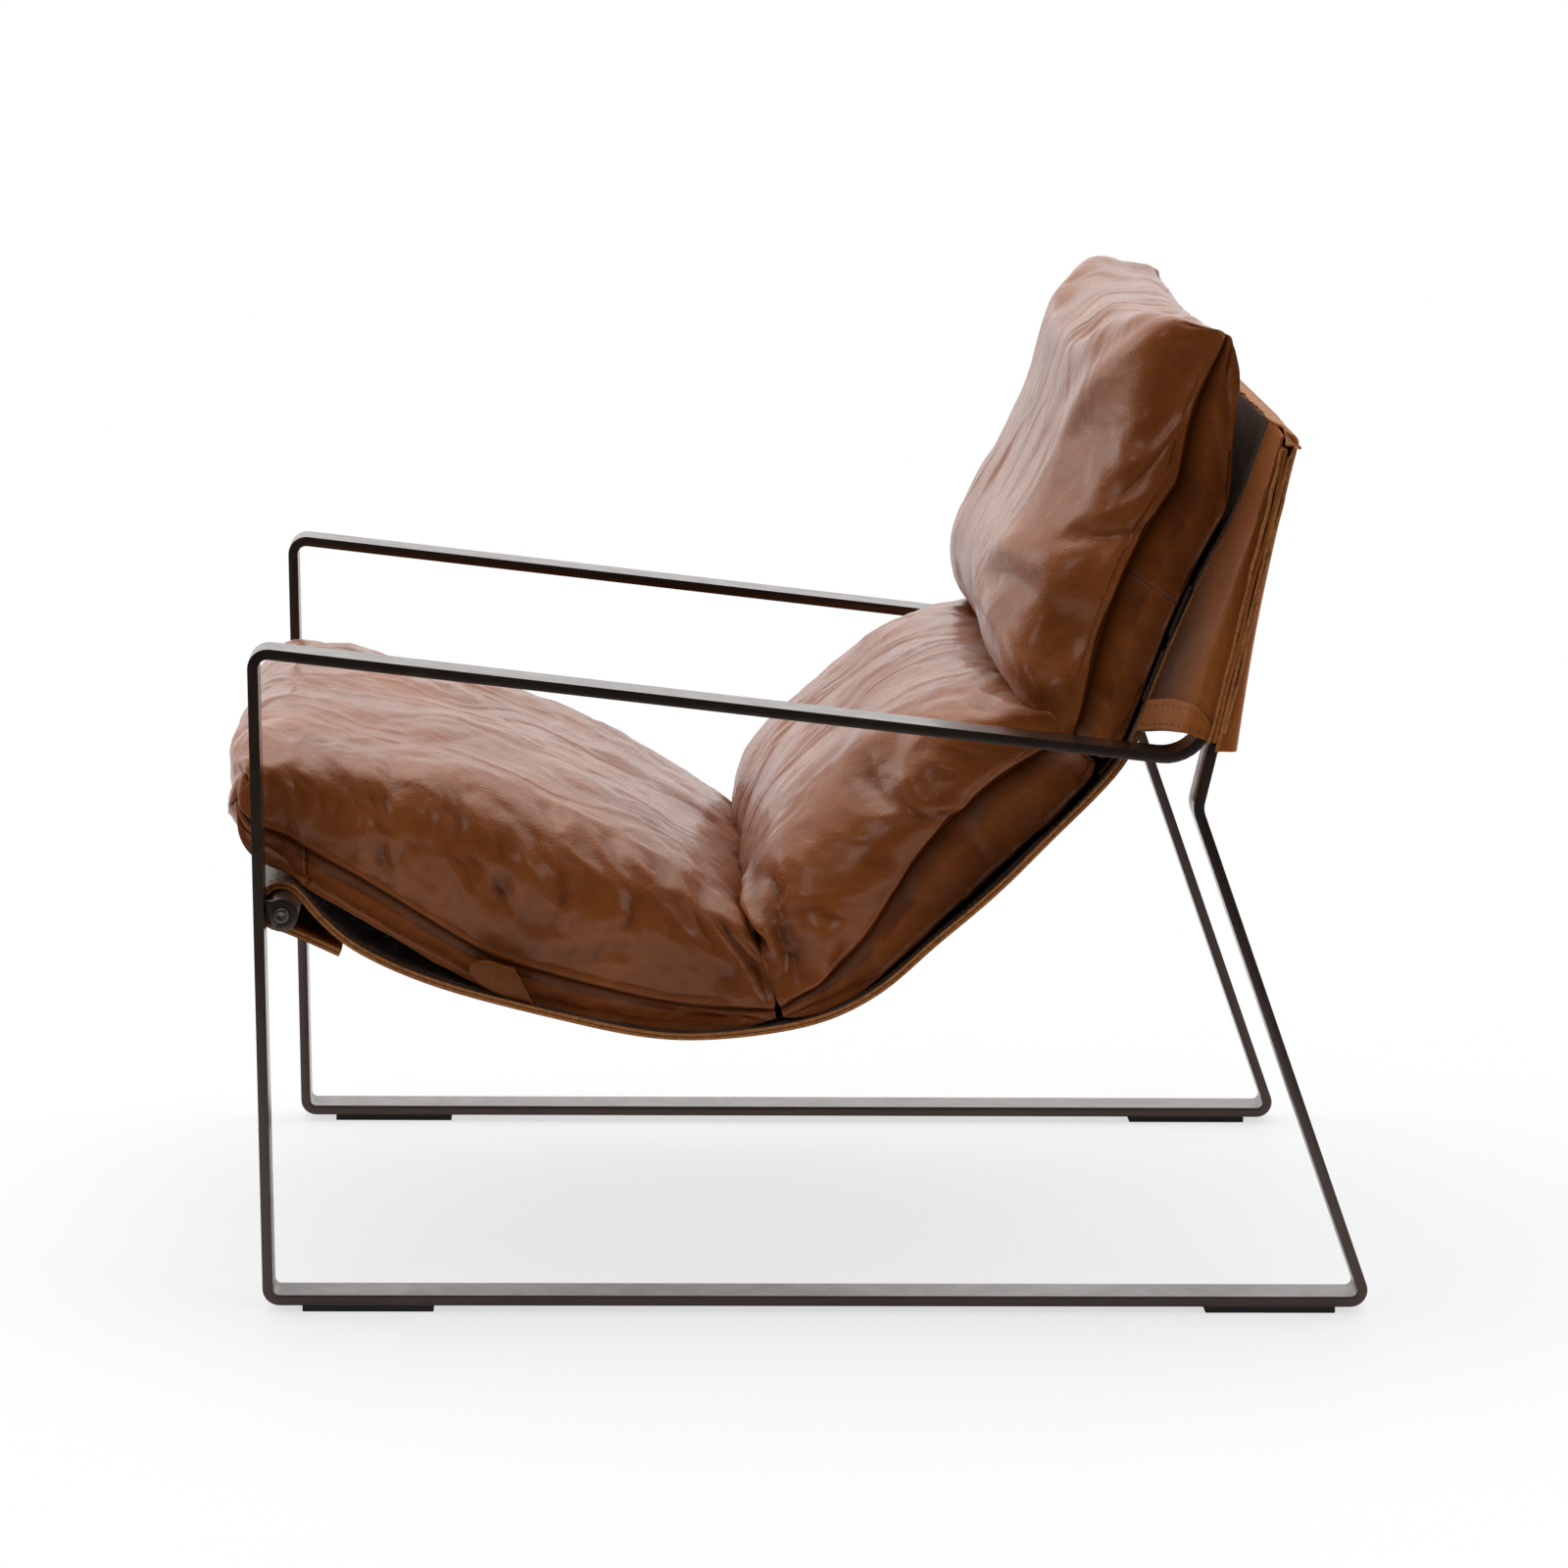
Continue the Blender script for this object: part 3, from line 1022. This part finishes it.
# start and end are shares of the rest line, and angles say how far a cushion's ends stand up from it.
# power and side_power round its outline; top and seam are heights along it, as shares of its thickness;
# ears draws its upper corners out; corner blunts its corners and lift raises the front ones; joint is the
# place of the boxing strip's joint; under says where, how softly and how far it darkens below the seam.
# Each fold has the points of its line, its height and its width on both sides.
CUSHIONS = {
    "seat": dict(
        start=0.0, end=0.405, angles=(91, 103), thickness=172.0, power=3.2, side_power=5.8, ears=0.0, seed=3,
        crumple=1.3, top=(0.68, 0.83, 0.98, 0.9, 0.76), seam=(0.15, 0.19, 0.16, 0.13, 0.06), corner=15.0,
        lift=15.0, joint=0.16, under=(60.0, 60.0, 0.1), folds=(
            (((45, -262), (31, -283), (22, -295), (18, -302)), -4.0, 3.5, 3.5),
            (((54, -268), (38, -290), (28, -304)), 2.5, 8, 8),
            (((124, -310), (116, -338), (118, -356)), 2.0, 7, 7),
            (((134, -312), (130, -334), (131, -354)), -2.0, 7, 7),
            (((146, -308), (143, -334), (144, -354)), 2.0, 7, 7),
            (((249, -290), (232, -326), (233, -354)), -2.5, 9, 9),
            (((263, -300), (247, -328), (246, -354)), 2.0, 9, 9),
            (((186, -324), (199, -346), (211, -360)), 1.6, 5, 5),
            (((442, -315), (429, -345), (416, -364)), 3.5, 8, 10),
            (((424, -284), (436, -313), (446, -334)), -4.0, 6, 9),
            (((330, -150), (291, -230), (250, -262)), -2.5, 20, 20))),
    "lumbar": dict(
        start=0.405, end=0.69, angles=(103, 142), thickness=178.0, power=4.0, side_power=5.0, ears=0.0, seed=4,
        crumple=0.8, top=(0.86, 0.79, 0.78, 0.75, 0.66), seam=(0.06, 0.18, 0.3, 0.31, 0.24), corner=13.0,
        lift=0.0, joint=None, under=(16.0, 50.0, 0.9), folds=(
            (((76, -140), (66, -246), (53, -306), (32, -334)), -11.0, 5.5, 10),
            (((92, -180), (84, -235), (68, -287), (50, -317), (28, -344)), 8.5, 8, 9),
            (((112, -240), (97, -284), (78, -311), (54, -336), (24, -364)), -8.5, 11, 14),
            (((96, -325), (74, -350), (54, -364), (34, -376), (10, -380)), 7.0, 9, 12),
            (((243, -278), (218, -298), (204, -322), (221, -352)), 3.0, 8, 9),
            (((220, -250), (207, -290), (198, -318), (200, -352)), -4.0, 9, 12),
            (((92, -318), (123, -338), (148, -354)), 2.0, 14, 14))),
    "head": dict(
        start=0.69, end=1.0, angles=(142, 153), thickness=146.0, power=4.5, side_power=4.5, ears=1.25, seed=6,
        crumple=0.4, top=(1, 0.93, 0.85, 0.77, 0.67), seam=(0.26, 0.34, 0.33, 0.26, 0.05), corner=5.0,
        lift=0.0, joint=0.38, under=(22.0, 55.0, 0.8), folds=(
            (((160, -150), (170, -230), (158, -285), (124, -322)), 4.0, 14, 20),
            (((135, -155), (144, -230), (133, -275), (110, -305), (84, -330), (48, -358)), -6.0, 12, 18),
            (((115, -225), (92, -286), (62, -328)), -3.5, 20, 20),
            (((124, -190), (98, -252), (69, -296), (28, -334)), 4.5, 10, 14),
            (((270, -240), (231, -275), (182, -302)), 2.5, 10, 12),
            (((274, -256), (256, -282), (236, -308)), 2.0, 8, 10),
            (((258, -328), (236, -309), (210, -297)), -1.2, 3, 3),
            (((374, -290), (360, -302), (349, -312), (332, -327)), -4.5, 4.5, 4.5),
            (((362, -298), (343, -271), (308, -226), (250, -190)), 3.0, 14, 18),
            (((356, -255), (320, -195), (280, -140), (230, -110)), -3.0, 18, 18),
            (((190, -268), (176, -305), (163, -340)), -3.5, 9, 10),
            (((185, -20), (160, -90), (124, -160)), 2.0, 12, 12))),
}
HALF_CREASE = 1.2
DOME_HEIGHT = 120.0


def cushion_shape(spec, width, u, rise, v, round_):
    """Lower and upper points of a cushion over a grid of places along (u) and across (v)."""
    start = spec["start"] * REST_LENGTH + (HALF_CREASE if spec["start"] else 0)
    end = spec["end"] * REST_LENGTH - (HALF_CREASE if spec["end"] < 1 else 0)
    sweep = along(catmull(along(REST, np.array([start, (start + end) / 2, end]) / REST_LENGTH),
                          np.linspace(0, 1, 801)), u)
    tilt = np.radians(spec["angles"][0] + (spec["angles"][1] - spec["angles"][0]) * u)
    up = np.stack([np.cos(tilt), np.sin(tilt)], 1)
    seam_height = spec["thickness"] * spline(spec["seam"], u)
    drawn = 12.0 * (1 - v[None, :] ** 2) * (2 * u[:, None] - 1) ** 3 * spec["ears"] * (u[:, None] > 0.5)
    at = start + (end - start) * u[:, None] - drawn
    base = along(REST, (at / REST_LENGTH).ravel()).reshape(at.shape + (2,))
    half = width / 2 - 9.0 * np.sin(math.pi * u)
    seam = base + (up * seam_height[:, None])[:, None, :]
    top = sweep + up * (spec["thickness"] * spline(spec["top"], u))[:, None]
    lift = ((top[:, None, :] - seam) * up[:, None, :]).sum(-1)
    full = rise[:, None] * round_[None, :]
    # the boxing stays square where two cushions meet
    joined = np.where(u < 0.5, spec["start"] > 0, spec["end"] < 1)
    belly = (rise ** np.where(joined, 0.3, 1.0))[:, None] * ((1 - np.abs(v) ** 22.0) ** (1 / 22.0))[None, :]
    y = CHAIR_WIDTH / 2 + half[:, None] * v[None, :]

    def solid(height):
        p = seam + up[:, None, :] * height[..., None]
        return np.stack([p[..., 0], y, p[..., 1]], -1)

    return solid(-belly * seam_height[:, None]), solid(full * lift), full, up


def spread(grid, axis):
    """How far along an axis of a grid each of its points lies."""
    steps = np.linalg.norm(np.diff(grid, axis=axis), axis=-1)
    zero = np.zeros_like(np.take(steps, [0], axis))
    return np.concatenate([zero, np.cumsum(steps, axis)], axis)


class CHAIR_OT_cushions(bpy.types.Operator):
    """Stuffs and sews the three joined leather cushions"""

    bl_idname = "sling_chair.cushions"
    bl_label = "Cushions"

    def execute(self, context):
        settings = context.scene.sling_chair.cushions
        leather = shared("Glossy pull-up cushion leather", waxed_leather, settings.pale_colour,
                         settings.middle_colour, settings.dark_colour, 0.34, coat=0.5,
                         below=settings.boxing_colour)
        for name, spec in CUSHIONS.items():
            self.cushion(name, spec, settings, leather)
        return {"FINISHED"}

    def cushion(self, name, spec, settings, leather):
        rng = np.random.default_rng(spec["seed"])
        width = settings.width / MM
        run = (spec["end"] - spec["start"]) * REST_LENGTH
        v, round_, across = oval_profile(spec["side_power"], width / 2, DOME_HEIGHT)
        w, rise, down = oval_profile(spec["power"], run / 2, DOME_HEIGHT)
        if spec["joint"]:
            # closer rows where the boxing strip has its joint
            extra = 2 * (spec["joint"] + np.linspace(-4.5, 4.5, 10) / run) - 1
            both = np.unique(np.concatenate([w, extra]))
            down = np.interp(both, w, down)
            rise = np.concatenate([[0], (1 - np.abs(both[1:-1]) ** spec["power"]) ** (1 / spec["power"]), [0]])
            w = both
        u = (w + 1) / 2
        lower, upper, full, up = cushion_shape(spec, width, u, rise, v, round_)
        lower = self.swollen(lower, full, rise, u, v, up, run, spec, lower=True)
        upper = self.swollen(upper, full, rise, u, v, up, run, spec)
        upper = upper + self.settling(spec, settings, width, run, down, across)

        fields = []
        for layer, grid in ((0, lower), (1, upper)):
            du, dv = spread(grid, 0), spread(grid, 1)
            sides = np.minimum(dv, dv[:, -1:] - dv)
            ends = np.minimum(du, du[-1:] - du)
            rim = np.minimum(ends, sides)
            x, y = du, dv - dv[:, -1:] / 2
            span_u, span_v = float(du[-1].mean()), float(dv[:, -1].mean() / 2)
            relief = -settings.seam_depth / MM * np.exp(-(rim / 1.7) ** 2)
            # the top panel hangs over the seam and the boxing strip draws in below it
            away = np.clip(np.hypot(ends, sides) / 60 - 0.15, 0, 1)
            if layer:
                relief += 2.4 * away * (1 - np.exp(-(rim / 4.5) ** 2)) * np.exp(-(rim / 55.0) ** 2)
            else:
                relief -= 1.2 * away * (1 - np.exp(-(rim / 5.0) ** 2)) * np.exp(-(rim / 18.0) ** 2)
            free = np.clip(np.hypot(ends, sides) / 45 - 0.25, 0, 1)
            gathers = self.puckers(x, sides, rng, span_u) + self.puckers(y + span_v, ends, rng, 2 * span_v)
            if layer:
                inner = np.clip((sides - 90) / 110, 0, 1)
                wide = waves((x * 0.6, y), spec["seed"] + 40, 16, 90, 260)
                relief += 2.2 * min(spec["crumple"] + 0.1, 1) * wide * np.clip(rim / 60, 0, 1)
                drift = 15 * waves((x, y), spec["seed"] + 60, 12, 55, 190)
                long = ridge_field(x, y + drift, rng, settings.wrinkle_count, settings.wrinkle_depth / MM,
                                   span_u, span_v)
                relief += long * (0.08 + 0.92 * inner) * np.clip((rim - 6) / 22, 0, 1)
                corners = [(x.min(), y.min(), 1, 1), (x.min(), y.max(), 1, -1),
                           (x.max(), y.min(), -1, 1), (x.max(), y.max(), -1, -1)]
                relief += fan_field(x, y, rng, corners, 1.6) * np.clip((rim - 4) / 14, 0, 1) * free
                relief += gathers * free
                crumples = crumple_field(x, y, spec["seed"] + 80) * np.clip((rim - 5) / 26, 0, 1)
                relief += crumples * (1.35 - 0.85 * inner) * spec["crumple"]
                for fold in spec["folds"]:
                    relief += fold_field(x, y, *fold)
            else:
                relief += gathers * 0.9 * free
                relief += 0.7 * crumple_field(x, y, spec["seed"] + 95) * np.clip((rim - 3) / 16, 0, 1)
                if spec["joint"]:
                    off = (u[:, None] - spec["joint"]) * run
                    relief -= 1.5 * np.exp(-(off / 1.3) ** 2) * np.clip((70 - sides) / 10, 0, 1)
            relief *= np.clip(np.hypot(ends, sides) / 9 - 0.2, 0, 1)
            fields.append((relief, du, dv, rim, np.broadcast_to(sides, rim.shape)))
        self.build(name, spec, lower, upper, fields, leather)

    def swollen(self, grid, full, rise, u, v, up, run, spec, lower=False):
        """Swells the side walls, blunts the corners and presses neighbouring cushions together."""
        grid = grid.copy()
        a = 2 * u - 1
        joined = np.where(u < 0.5, spec["start"] > 0, spec["end"] < 1)
        corner = (np.abs(a) ** 14 * (1 - 0.9 * joined))[:, None] * (np.abs(v) ** 14)[None, :]
        grid[..., 1] -= spec["corner"] * corner * np.sign(v)
        grid[..., 0] -= spec["corner"] * corner * (np.sign(a) * up[:, 1])[:, None]
        grid[..., 2] += spec["corner"] * corner * (np.sign(a) * up[:, 0])[:, None]
        raised = spec["lift"] * corner * (a < 0)[:, None]
        grid[..., 0] += raised * up[:, None, 0]
        grid[..., 2] += raised * up[:, None, 1]
        if lower:
            # the boxing strip bulges over the sling's edge
            depth = rise[:, None] * (np.abs(v) ** 30)[None, :] * np.clip((1 - np.abs(v)) / 0.004, 0, 1)[None, :]
            grid[..., 1] += 4.5 * depth * np.sign(v)
            return grid
        wall = 4 * full * (1 - full)
        grid[..., 1] += wall * (2 + 5 * np.sin(math.pi * u))[:, None] * np.sign(v) * np.abs(v) ** 6
        for joined, distance, sign in ((spec["start"] > 0, u * run, 1), (spec["end"] < 1, (1 - u) * run, -1)):
            if joined:
                press = 11.0 * (np.clip(1 - distance / 62.0, 0, 1) ** 2)[:, None] * np.clip(full / 0.28, 0, 1)
                grid[..., 0] -= sign * press * up[:, None, 1]
                grid[..., 2] += sign * press * up[:, None, 0]
        return grid

    def settling(self, spec, settings, width, run, down, across):
        """The settled way of the top panel, worked out on an even grid and kept within its limit."""
        step, limit = settings.cloth_step / MM, settings.cloth_limit / MM
        v, round_, _ = oval_profile(spec["side_power"], width / 2, DOME_HEIGHT, coarse=step, zone=0.0)
        w, rise, _ = oval_profile(spec["power"], run / 2, DOME_HEIGHT, coarse=step, zone=0.0)
        _, upper, full, up = cushion_shape(spec, width, (w + 1) / 2, rise, v, round_)
        upper = self.swollen(upper, full, rise, (w + 1) / 2, v, up, run, spec)
        way = settled(upper, settings.spare_width, settings.spare_length, settings.filling_pressure)
        # takes out the marks of the cloth's own grid
        for axis in (0, 1, 0, 1):
            way = softened(way, axis)
        size = np.linalg.norm(way, axis=-1, keepdims=True)
        way = way * (limit * np.tanh(size / limit) / np.maximum(size, 1e-6))
        way *= 1 - ((np.abs(w) ** 8)[:, None] * (np.abs(v) ** 8)[None, :])[..., None]
        # what the filling gives back keeps the crown at its height
        swell = (way[..., 0] * up[:, None, 0] + way[..., 2] * up[:, None, 1]).mean() * 1.1 * full
        way[..., 0] -= swell * up[:, None, 0]
        way[..., 2] -= swell * up[:, None, 1]
        return spline(spline(way, down / down[-1]), across / across[-1], 1)

    def puckers(self, at, distance, rng, span):
        """Short gathers that stand square to a seam and die out within a hand's breadth."""
        total = np.zeros(at.shape)
        place_ = 0.0
        while place_ < span:
            place_ += rng.uniform(16, 62)
            size = rng.uniform(0.5, 2.0)
            width = rng.uniform(5, 13)
            reach = rng.uniform(22, 70)
            lean = rng.normal(0, 0.25)
            d = (at - place_ - lean * distance) / (width + 0.06 * distance)
            total += size * (np.exp(-d ** 2) - 0.4) * np.exp(-(distance / reach) ** 2) * np.clip(distance / 7, 0, 1)
        return total

    def build(self, name, spec, lower, upper, fields, leather):
        """Joins both halves at the seam, moves them by their relief and notes the marks of wear."""
        rows, cols = upper.shape[:2]
        count = rows * cols
        on_rim = rim_of(rows, cols)
        upper_index = np.where(on_rim, np.arange(count), count + np.cumsum(~on_rim) - 1)
        points = np.vstack([lower.reshape(-1, 3), upper.reshape(-1, 3)[~on_rim]])
        relief, rims = (np.concatenate([fields[0][k].ravel(), fields[1][k].ravel()[~on_rim]]) for k in (0, 3))
        base = quads(rows, cols)
        faces = np.vstack([base, upper_index[base][:, ::-1]])
        a, b, c, d = (points[faces[:, k]] for k in range(4))
        normal = np.cross(c - a, d - b)
        if (normal * ((a + b + c + d) / 4 - points.mean(0))).sum() < 0:
            faces, normal = faces[:, ::-1], -normal
        total = np.zeros_like(points)
        for k in range(4):
            np.add.at(total, faces[:, k], normal)
        total /= np.maximum(np.linalg.norm(total, axis=1), 1e-9)[:, None]
        piece = new_object(f"{name}_pillow", to_frame(points + total * relief[:, None]), faces, (leather,))
        # stretch is high on ridges and low in folds
        smooth = relief.copy()
        degree = np.maximum(np.bincount(faces.ravel(), minlength=len(relief)), 1)
        for _ in range(6):
            neighbours = np.zeros_like(relief)
            for k in range(4):
                np.add.at(neighbours, faces[:, k], smooth[faces[:, (k + 1) % 4]])
            smooth = 0.4 * smooth + 0.6 * neighbours / degree
        begin, reach, most = spec["under"]
        below, top = np.zeros(len(points)), np.zeros(len(points))
        below[:count] = np.clip((fields[0][3].ravel() - begin) / reach, 0, 1) * most
        top[count:] = np.clip((fields[1][4].ravel()[~on_rim] - 95) / 110, 0.04, 1)
        # how far a point lies under the cushion, how near the seam and how much the hide is crumpled there
        for key, values in (("stretch", np.clip(0.5 + (relief - smooth) * 0.42, 0, 1)), ("under", below),
                            ("seam", np.exp(-(rims / 1.5) ** 2)), ("crumple", top)):
            set_values(piece.data, key, values)
        flat = np.zeros((len(points), 2))
        for places, (_, du, dv, _, _) in zip((np.arange(count), upper_index), fields):
            flat[places] = np.stack([du.ravel(), dv.ravel()], 1)
        set_uv(piece.data, flat * MM)
        place(piece, "cushion_set", "cushion_leather", f"{name}_cushion")


# ---------------------------------------------------------------- stitches


def stitch_tree(thread):
    """Geometry Nodes: one short thread capsule at every pitch along each curve."""
    tree = bpy.data.node_groups.new("Stitches along edges", "GeometryNodeTree")
    tree.interface.new_socket("Lines", in_out="INPUT", socket_type="NodeSocketGeometry")
    for name, default in (("Pitch", 0.0058), ("Stitch Length", 0.0042), ("Thickness", 0.0009)):
        tree.interface.new_socket(name, in_out="INPUT", socket_type="NodeSocketFloat").default_value = default
    tree.interface.new_socket("Stitches", in_out="OUTPUT", socket_type="NodeSocketGeometry")
    node = functools.partial(add_node, tree)
    given = node("NodeGroupInput").outputs
    curve = node("GeometryNodeMeshToCurve", {"Mesh": given["Lines"]})
    spots = node("GeometryNodeCurveToPoints", {"Curve": curve, "Length": given["Pitch"]}, mode="LENGTH")
    turn = node("FunctionNodeAlignRotationToVector", {"Vector": spots.outputs["Tangent"]}, axis="Z")
    size = node("CombineXYZ", {0: given["Thickness"], 1: given["Thickness"], 2: given["Stitch Length"]})
    bead = node("GeometryNodeMeshUVSphere", {"Segments": 6, "Rings": 5, "Radius": 0.5})
    placed = node("GeometryNodeInstanceOnPoints",
                  {"Points": spots, "Instance": bead, "Rotation": turn, "Scale": size})
    solid = node("GeometryNodeRealizeInstances", {0: placed})
    node("NodeGroupOutput", {"Stitches": node("GeometryNodeSetMaterial", {"Geometry": solid, "Material": thread})})
    return tree


class CHAIR_OT_stitching(bpy.types.Operator):
    """Sews a row of stitches along every edge and seam of the sling and its pocket"""

    bl_idname = "sling_chair.stitching"
    bl_label = "Stitching"

    def execute(self, context):
        settings = context.scene.sling_chair.leather
        points, edges = [], []
        for line in STITCH_LINES:
            edges += [(len(points) + k, len(points) + k + 1) for k in range(len(line) - 1)]
            points += [tuple(p) for p in line]
        mesh = bpy.data.meshes.new("frame_stitches")
        mesh.from_pydata(points, edges, [])
        piece = linked("frame_stitches", mesh)
        sewn = piece.modifiers.new("Stitches", "NODES")
        sewn.node_group = stitch_tree(shared("Waxed thread", waxed_thread, settings.thread_colour))
        sizes = {"Pitch": settings.stitch_pitch, "Stitch Length": settings.stitch_length}
        for item in sewn.node_group.interface.items_tree:
            if item.item_type == "SOCKET" and item.in_out == "INPUT" and item.name in sizes:
                sewn[item.identifier] = sizes[item.name]
        evaluated(piece)
        piece.data.shade_smooth()
        place(piece, "chair_frame", "pocket_leather")
        return {"FINISHED"}


# ---------------------------------------------------------------- stage


def studio_floor(node, colour):
    """Satin paint of the pale studio floor. It ends in front of the picture, as a dark room lies behind the
    camera, and far from the chair it runs out into the white of the studio."""
    spot = node("SeparateXYZ", {0: node("TexCoord")}).outputs
    laid = node("MapRange", {"Value": spot[1], "From Min": -1.35, "From Max": -0.85, "To Min": 0.0, "To Max": 1.0},
                interpolation_type="SMOOTHSTEP")
    tint = node("Mix", {0: laid, 6: lin("#1d1c1b"), 7: colour}, data_type="RGBA")
    paint = node("BsdfPrincipled", {"Roughness": 0.55, "IOR": 1.4, "Base Color": tint})
    across, deep = (node("Math", {0: spot[axis], 1: 2.0}, operation="POWER") for axis in (0, 1))
    total = node("Math", {0: across, 1: deep}, operation="ADD")
    far = node("MapRange", {"Value": total, "From Min": 0.3, "From Max": 1.2, "To Min": 0.66, "To Max": 1.0},
               interpolation_type="SMOOTHSTEP")
    share = node("Math", {0: far, 1: node("LightPath").outputs["Is Camera Ray"]}, operation="MULTIPLY")
    white = node("Emission", {"Color": (1, 1, 1, 1), "Strength": 1.0})
    return node("MixShader", {0: share, 1: paint, 2: white})


class CHAIR_OT_stage(bpy.types.Operator):
    """Sets the pale floor, the soft lamps and the camera at the photograph's angle"""

    bl_idname = "sling_chair.stage"
    bl_label = "Stage"

    def execute(self, context):
        settings = context.scene.sling_chair.stage
        scene = context.scene
        scene.view_settings.view_transform = "Standard"
        size = 30.0
        corners = [(-size, -size, 0), (size, -size, 0), (size, size, 0), (-size, size, 0)]
        paint = shared("Pale studio floor", studio_floor, settings.floor_colour)
        floor = new_object("studio_floor", corners, [(0, 1, 2, 3)], (paint,), smooth=False)
        self.world(scene)
        for name, share, spot, aim, wide in (
                ("overhead_lamp", 1.0, (-0.3, 0.9, 3.2), (0, 0, 0.3), 2.2),
                ("side_lamp", 0.75, (-2.9, 0.9, 1.7), (0.1, 0, 0.5), 1.5),
                ("front_lamp", 0.57, (-1.9, -2.7, 2.0), (0.1, 0, 0.4), 1.1),
                ("rear_lamp", 0.8, (2.5, -2.5, 1.5), (0.3, 0, 0.5), 1.4)):
            lamp = with_settings(bpy.data.lights.new(name, "AREA"), energy=settings.lamp_power * share, size=wide)
            with_settings(linked(name, lamp), location=spot,
                          rotation_euler=(Vector(aim) - Vector(spot)).to_track_quat("-Z", "Y").to_euler())
        self.camera(scene)
        return {"FINISHED"}

    def world(self, scene):
        """White walls behind and above the chair, and a dim room behind the camera."""
        world = scene.world = bpy.data.worlds.new("White studio")
        world.use_nodes = True
        world.node_tree.nodes.clear()
        node = functools.partial(add_node, world.node_tree)
        path = node("LightPath").outputs
        seen = node("Math", {0: path["Is Camera Ray"], 1: path["Is Transmission Ray"]}, operation="MAXIMUM")
        way = node("SeparateXYZ", {0: node("TexCoord")}).outputs
        behind, above = (
            node("MapRange", {"Value": way[axis], "From Min": low, "From Max": high, "To Min": least, "To Max": most},
                 interpolation_type="SMOOTHSTEP")
            for axis, low, high, least, most in ((1, -0.5, 0.35, 0.02, 1.22), (2, 0.55, 0.97, 0.0, 0.8)))
        room = node("Math", {0: behind, 1: above}, operation="ADD")
        dim = node("Background", {"Color": (1, 1, 1, 1), "Strength": room})
        white = node("Background", {"Color": (1, 1, 1, 1), "Strength": 1.0})
        node("OutputWorld", {"Surface": node("MixShader", {0: seen, 1: dim, 2: white})})

    def camera(self, scene):
        """The camera found from the straight edges of both loops in the photograph."""
        yaw, pitch, roll = 0.0356, 0.1724, 0.0107
        focal_pixels, picture_pixels, sensor = 6074.21, 1600, 36.0
        forward = Vector((math.sin(yaw) * math.cos(pitch), math.cos(yaw) * math.cos(pitch), -math.sin(pitch)))
        level = Vector((math.cos(yaw), -math.sin(yaw), 0))
        above = level.cross(forward)
        right = level * math.cos(roll) + above * math.sin(roll)
        up = above * math.cos(roll) - level * math.sin(roll)
        lens = with_settings(bpy.data.cameras.new("camera"), sensor_width=sensor, sensor_fit="HORIZONTAL",
                             lens=focal_pixels / picture_pixels * sensor, clip_end=100.0)
        turn = Matrix((right, up, -forward)).transposed().to_4x4()
        scene.camera = linked("camera", lens)
        scene.camera.matrix_world = Matrix.Translation(Vector(to_frame([235.9, -4408.9, 1173.1]))) @ turn


class CHAIR_PT_panel(bpy.types.Panel):
    """The chair's steps in the sidebar"""

    bl_label = "Lounge Chair"
    bl_idname = "CHAIR_PT_panel"
    bl_space_type = "VIEW_3D"
    bl_region_type = "UI"
    bl_category = "Lounge Chair"

    def draw(self, context):
        for operator in OPERATORS:
            self.layout.operator(operator.bl_idname)


OPERATORS = (CHAIR_OT_steel_frame, CHAIR_OT_front_rod, CHAIR_OT_sling, CHAIR_OT_pocket, CHAIR_OT_keeper_tabs,
             CHAIR_OT_cushions, CHAIR_OT_stitching, CHAIR_OT_stage)
CLASSES = (SteelSettings, LeatherSettings, CushionSettings, StageSettings, SlingChairSettings) + OPERATORS + (
    CHAIR_PT_panel,)


def register():
    for cls in CLASSES:
        bpy.utils.register_class(cls)
    bpy.types.Scene.sling_chair = bpy.props.PointerProperty(type=SlingChairSettings)


def unregister():
    del bpy.types.Scene.sling_chair
    for cls in reversed(CLASSES):
        bpy.utils.unregister_class(cls)


def main():
    register()
    for operator in OPERATORS:
        group, name = operator.bl_idname.split(".")
        getattr(getattr(bpy.ops, group), name)()
    bpy.context.view_layer.update()


if __name__ == "__main__":
    main()
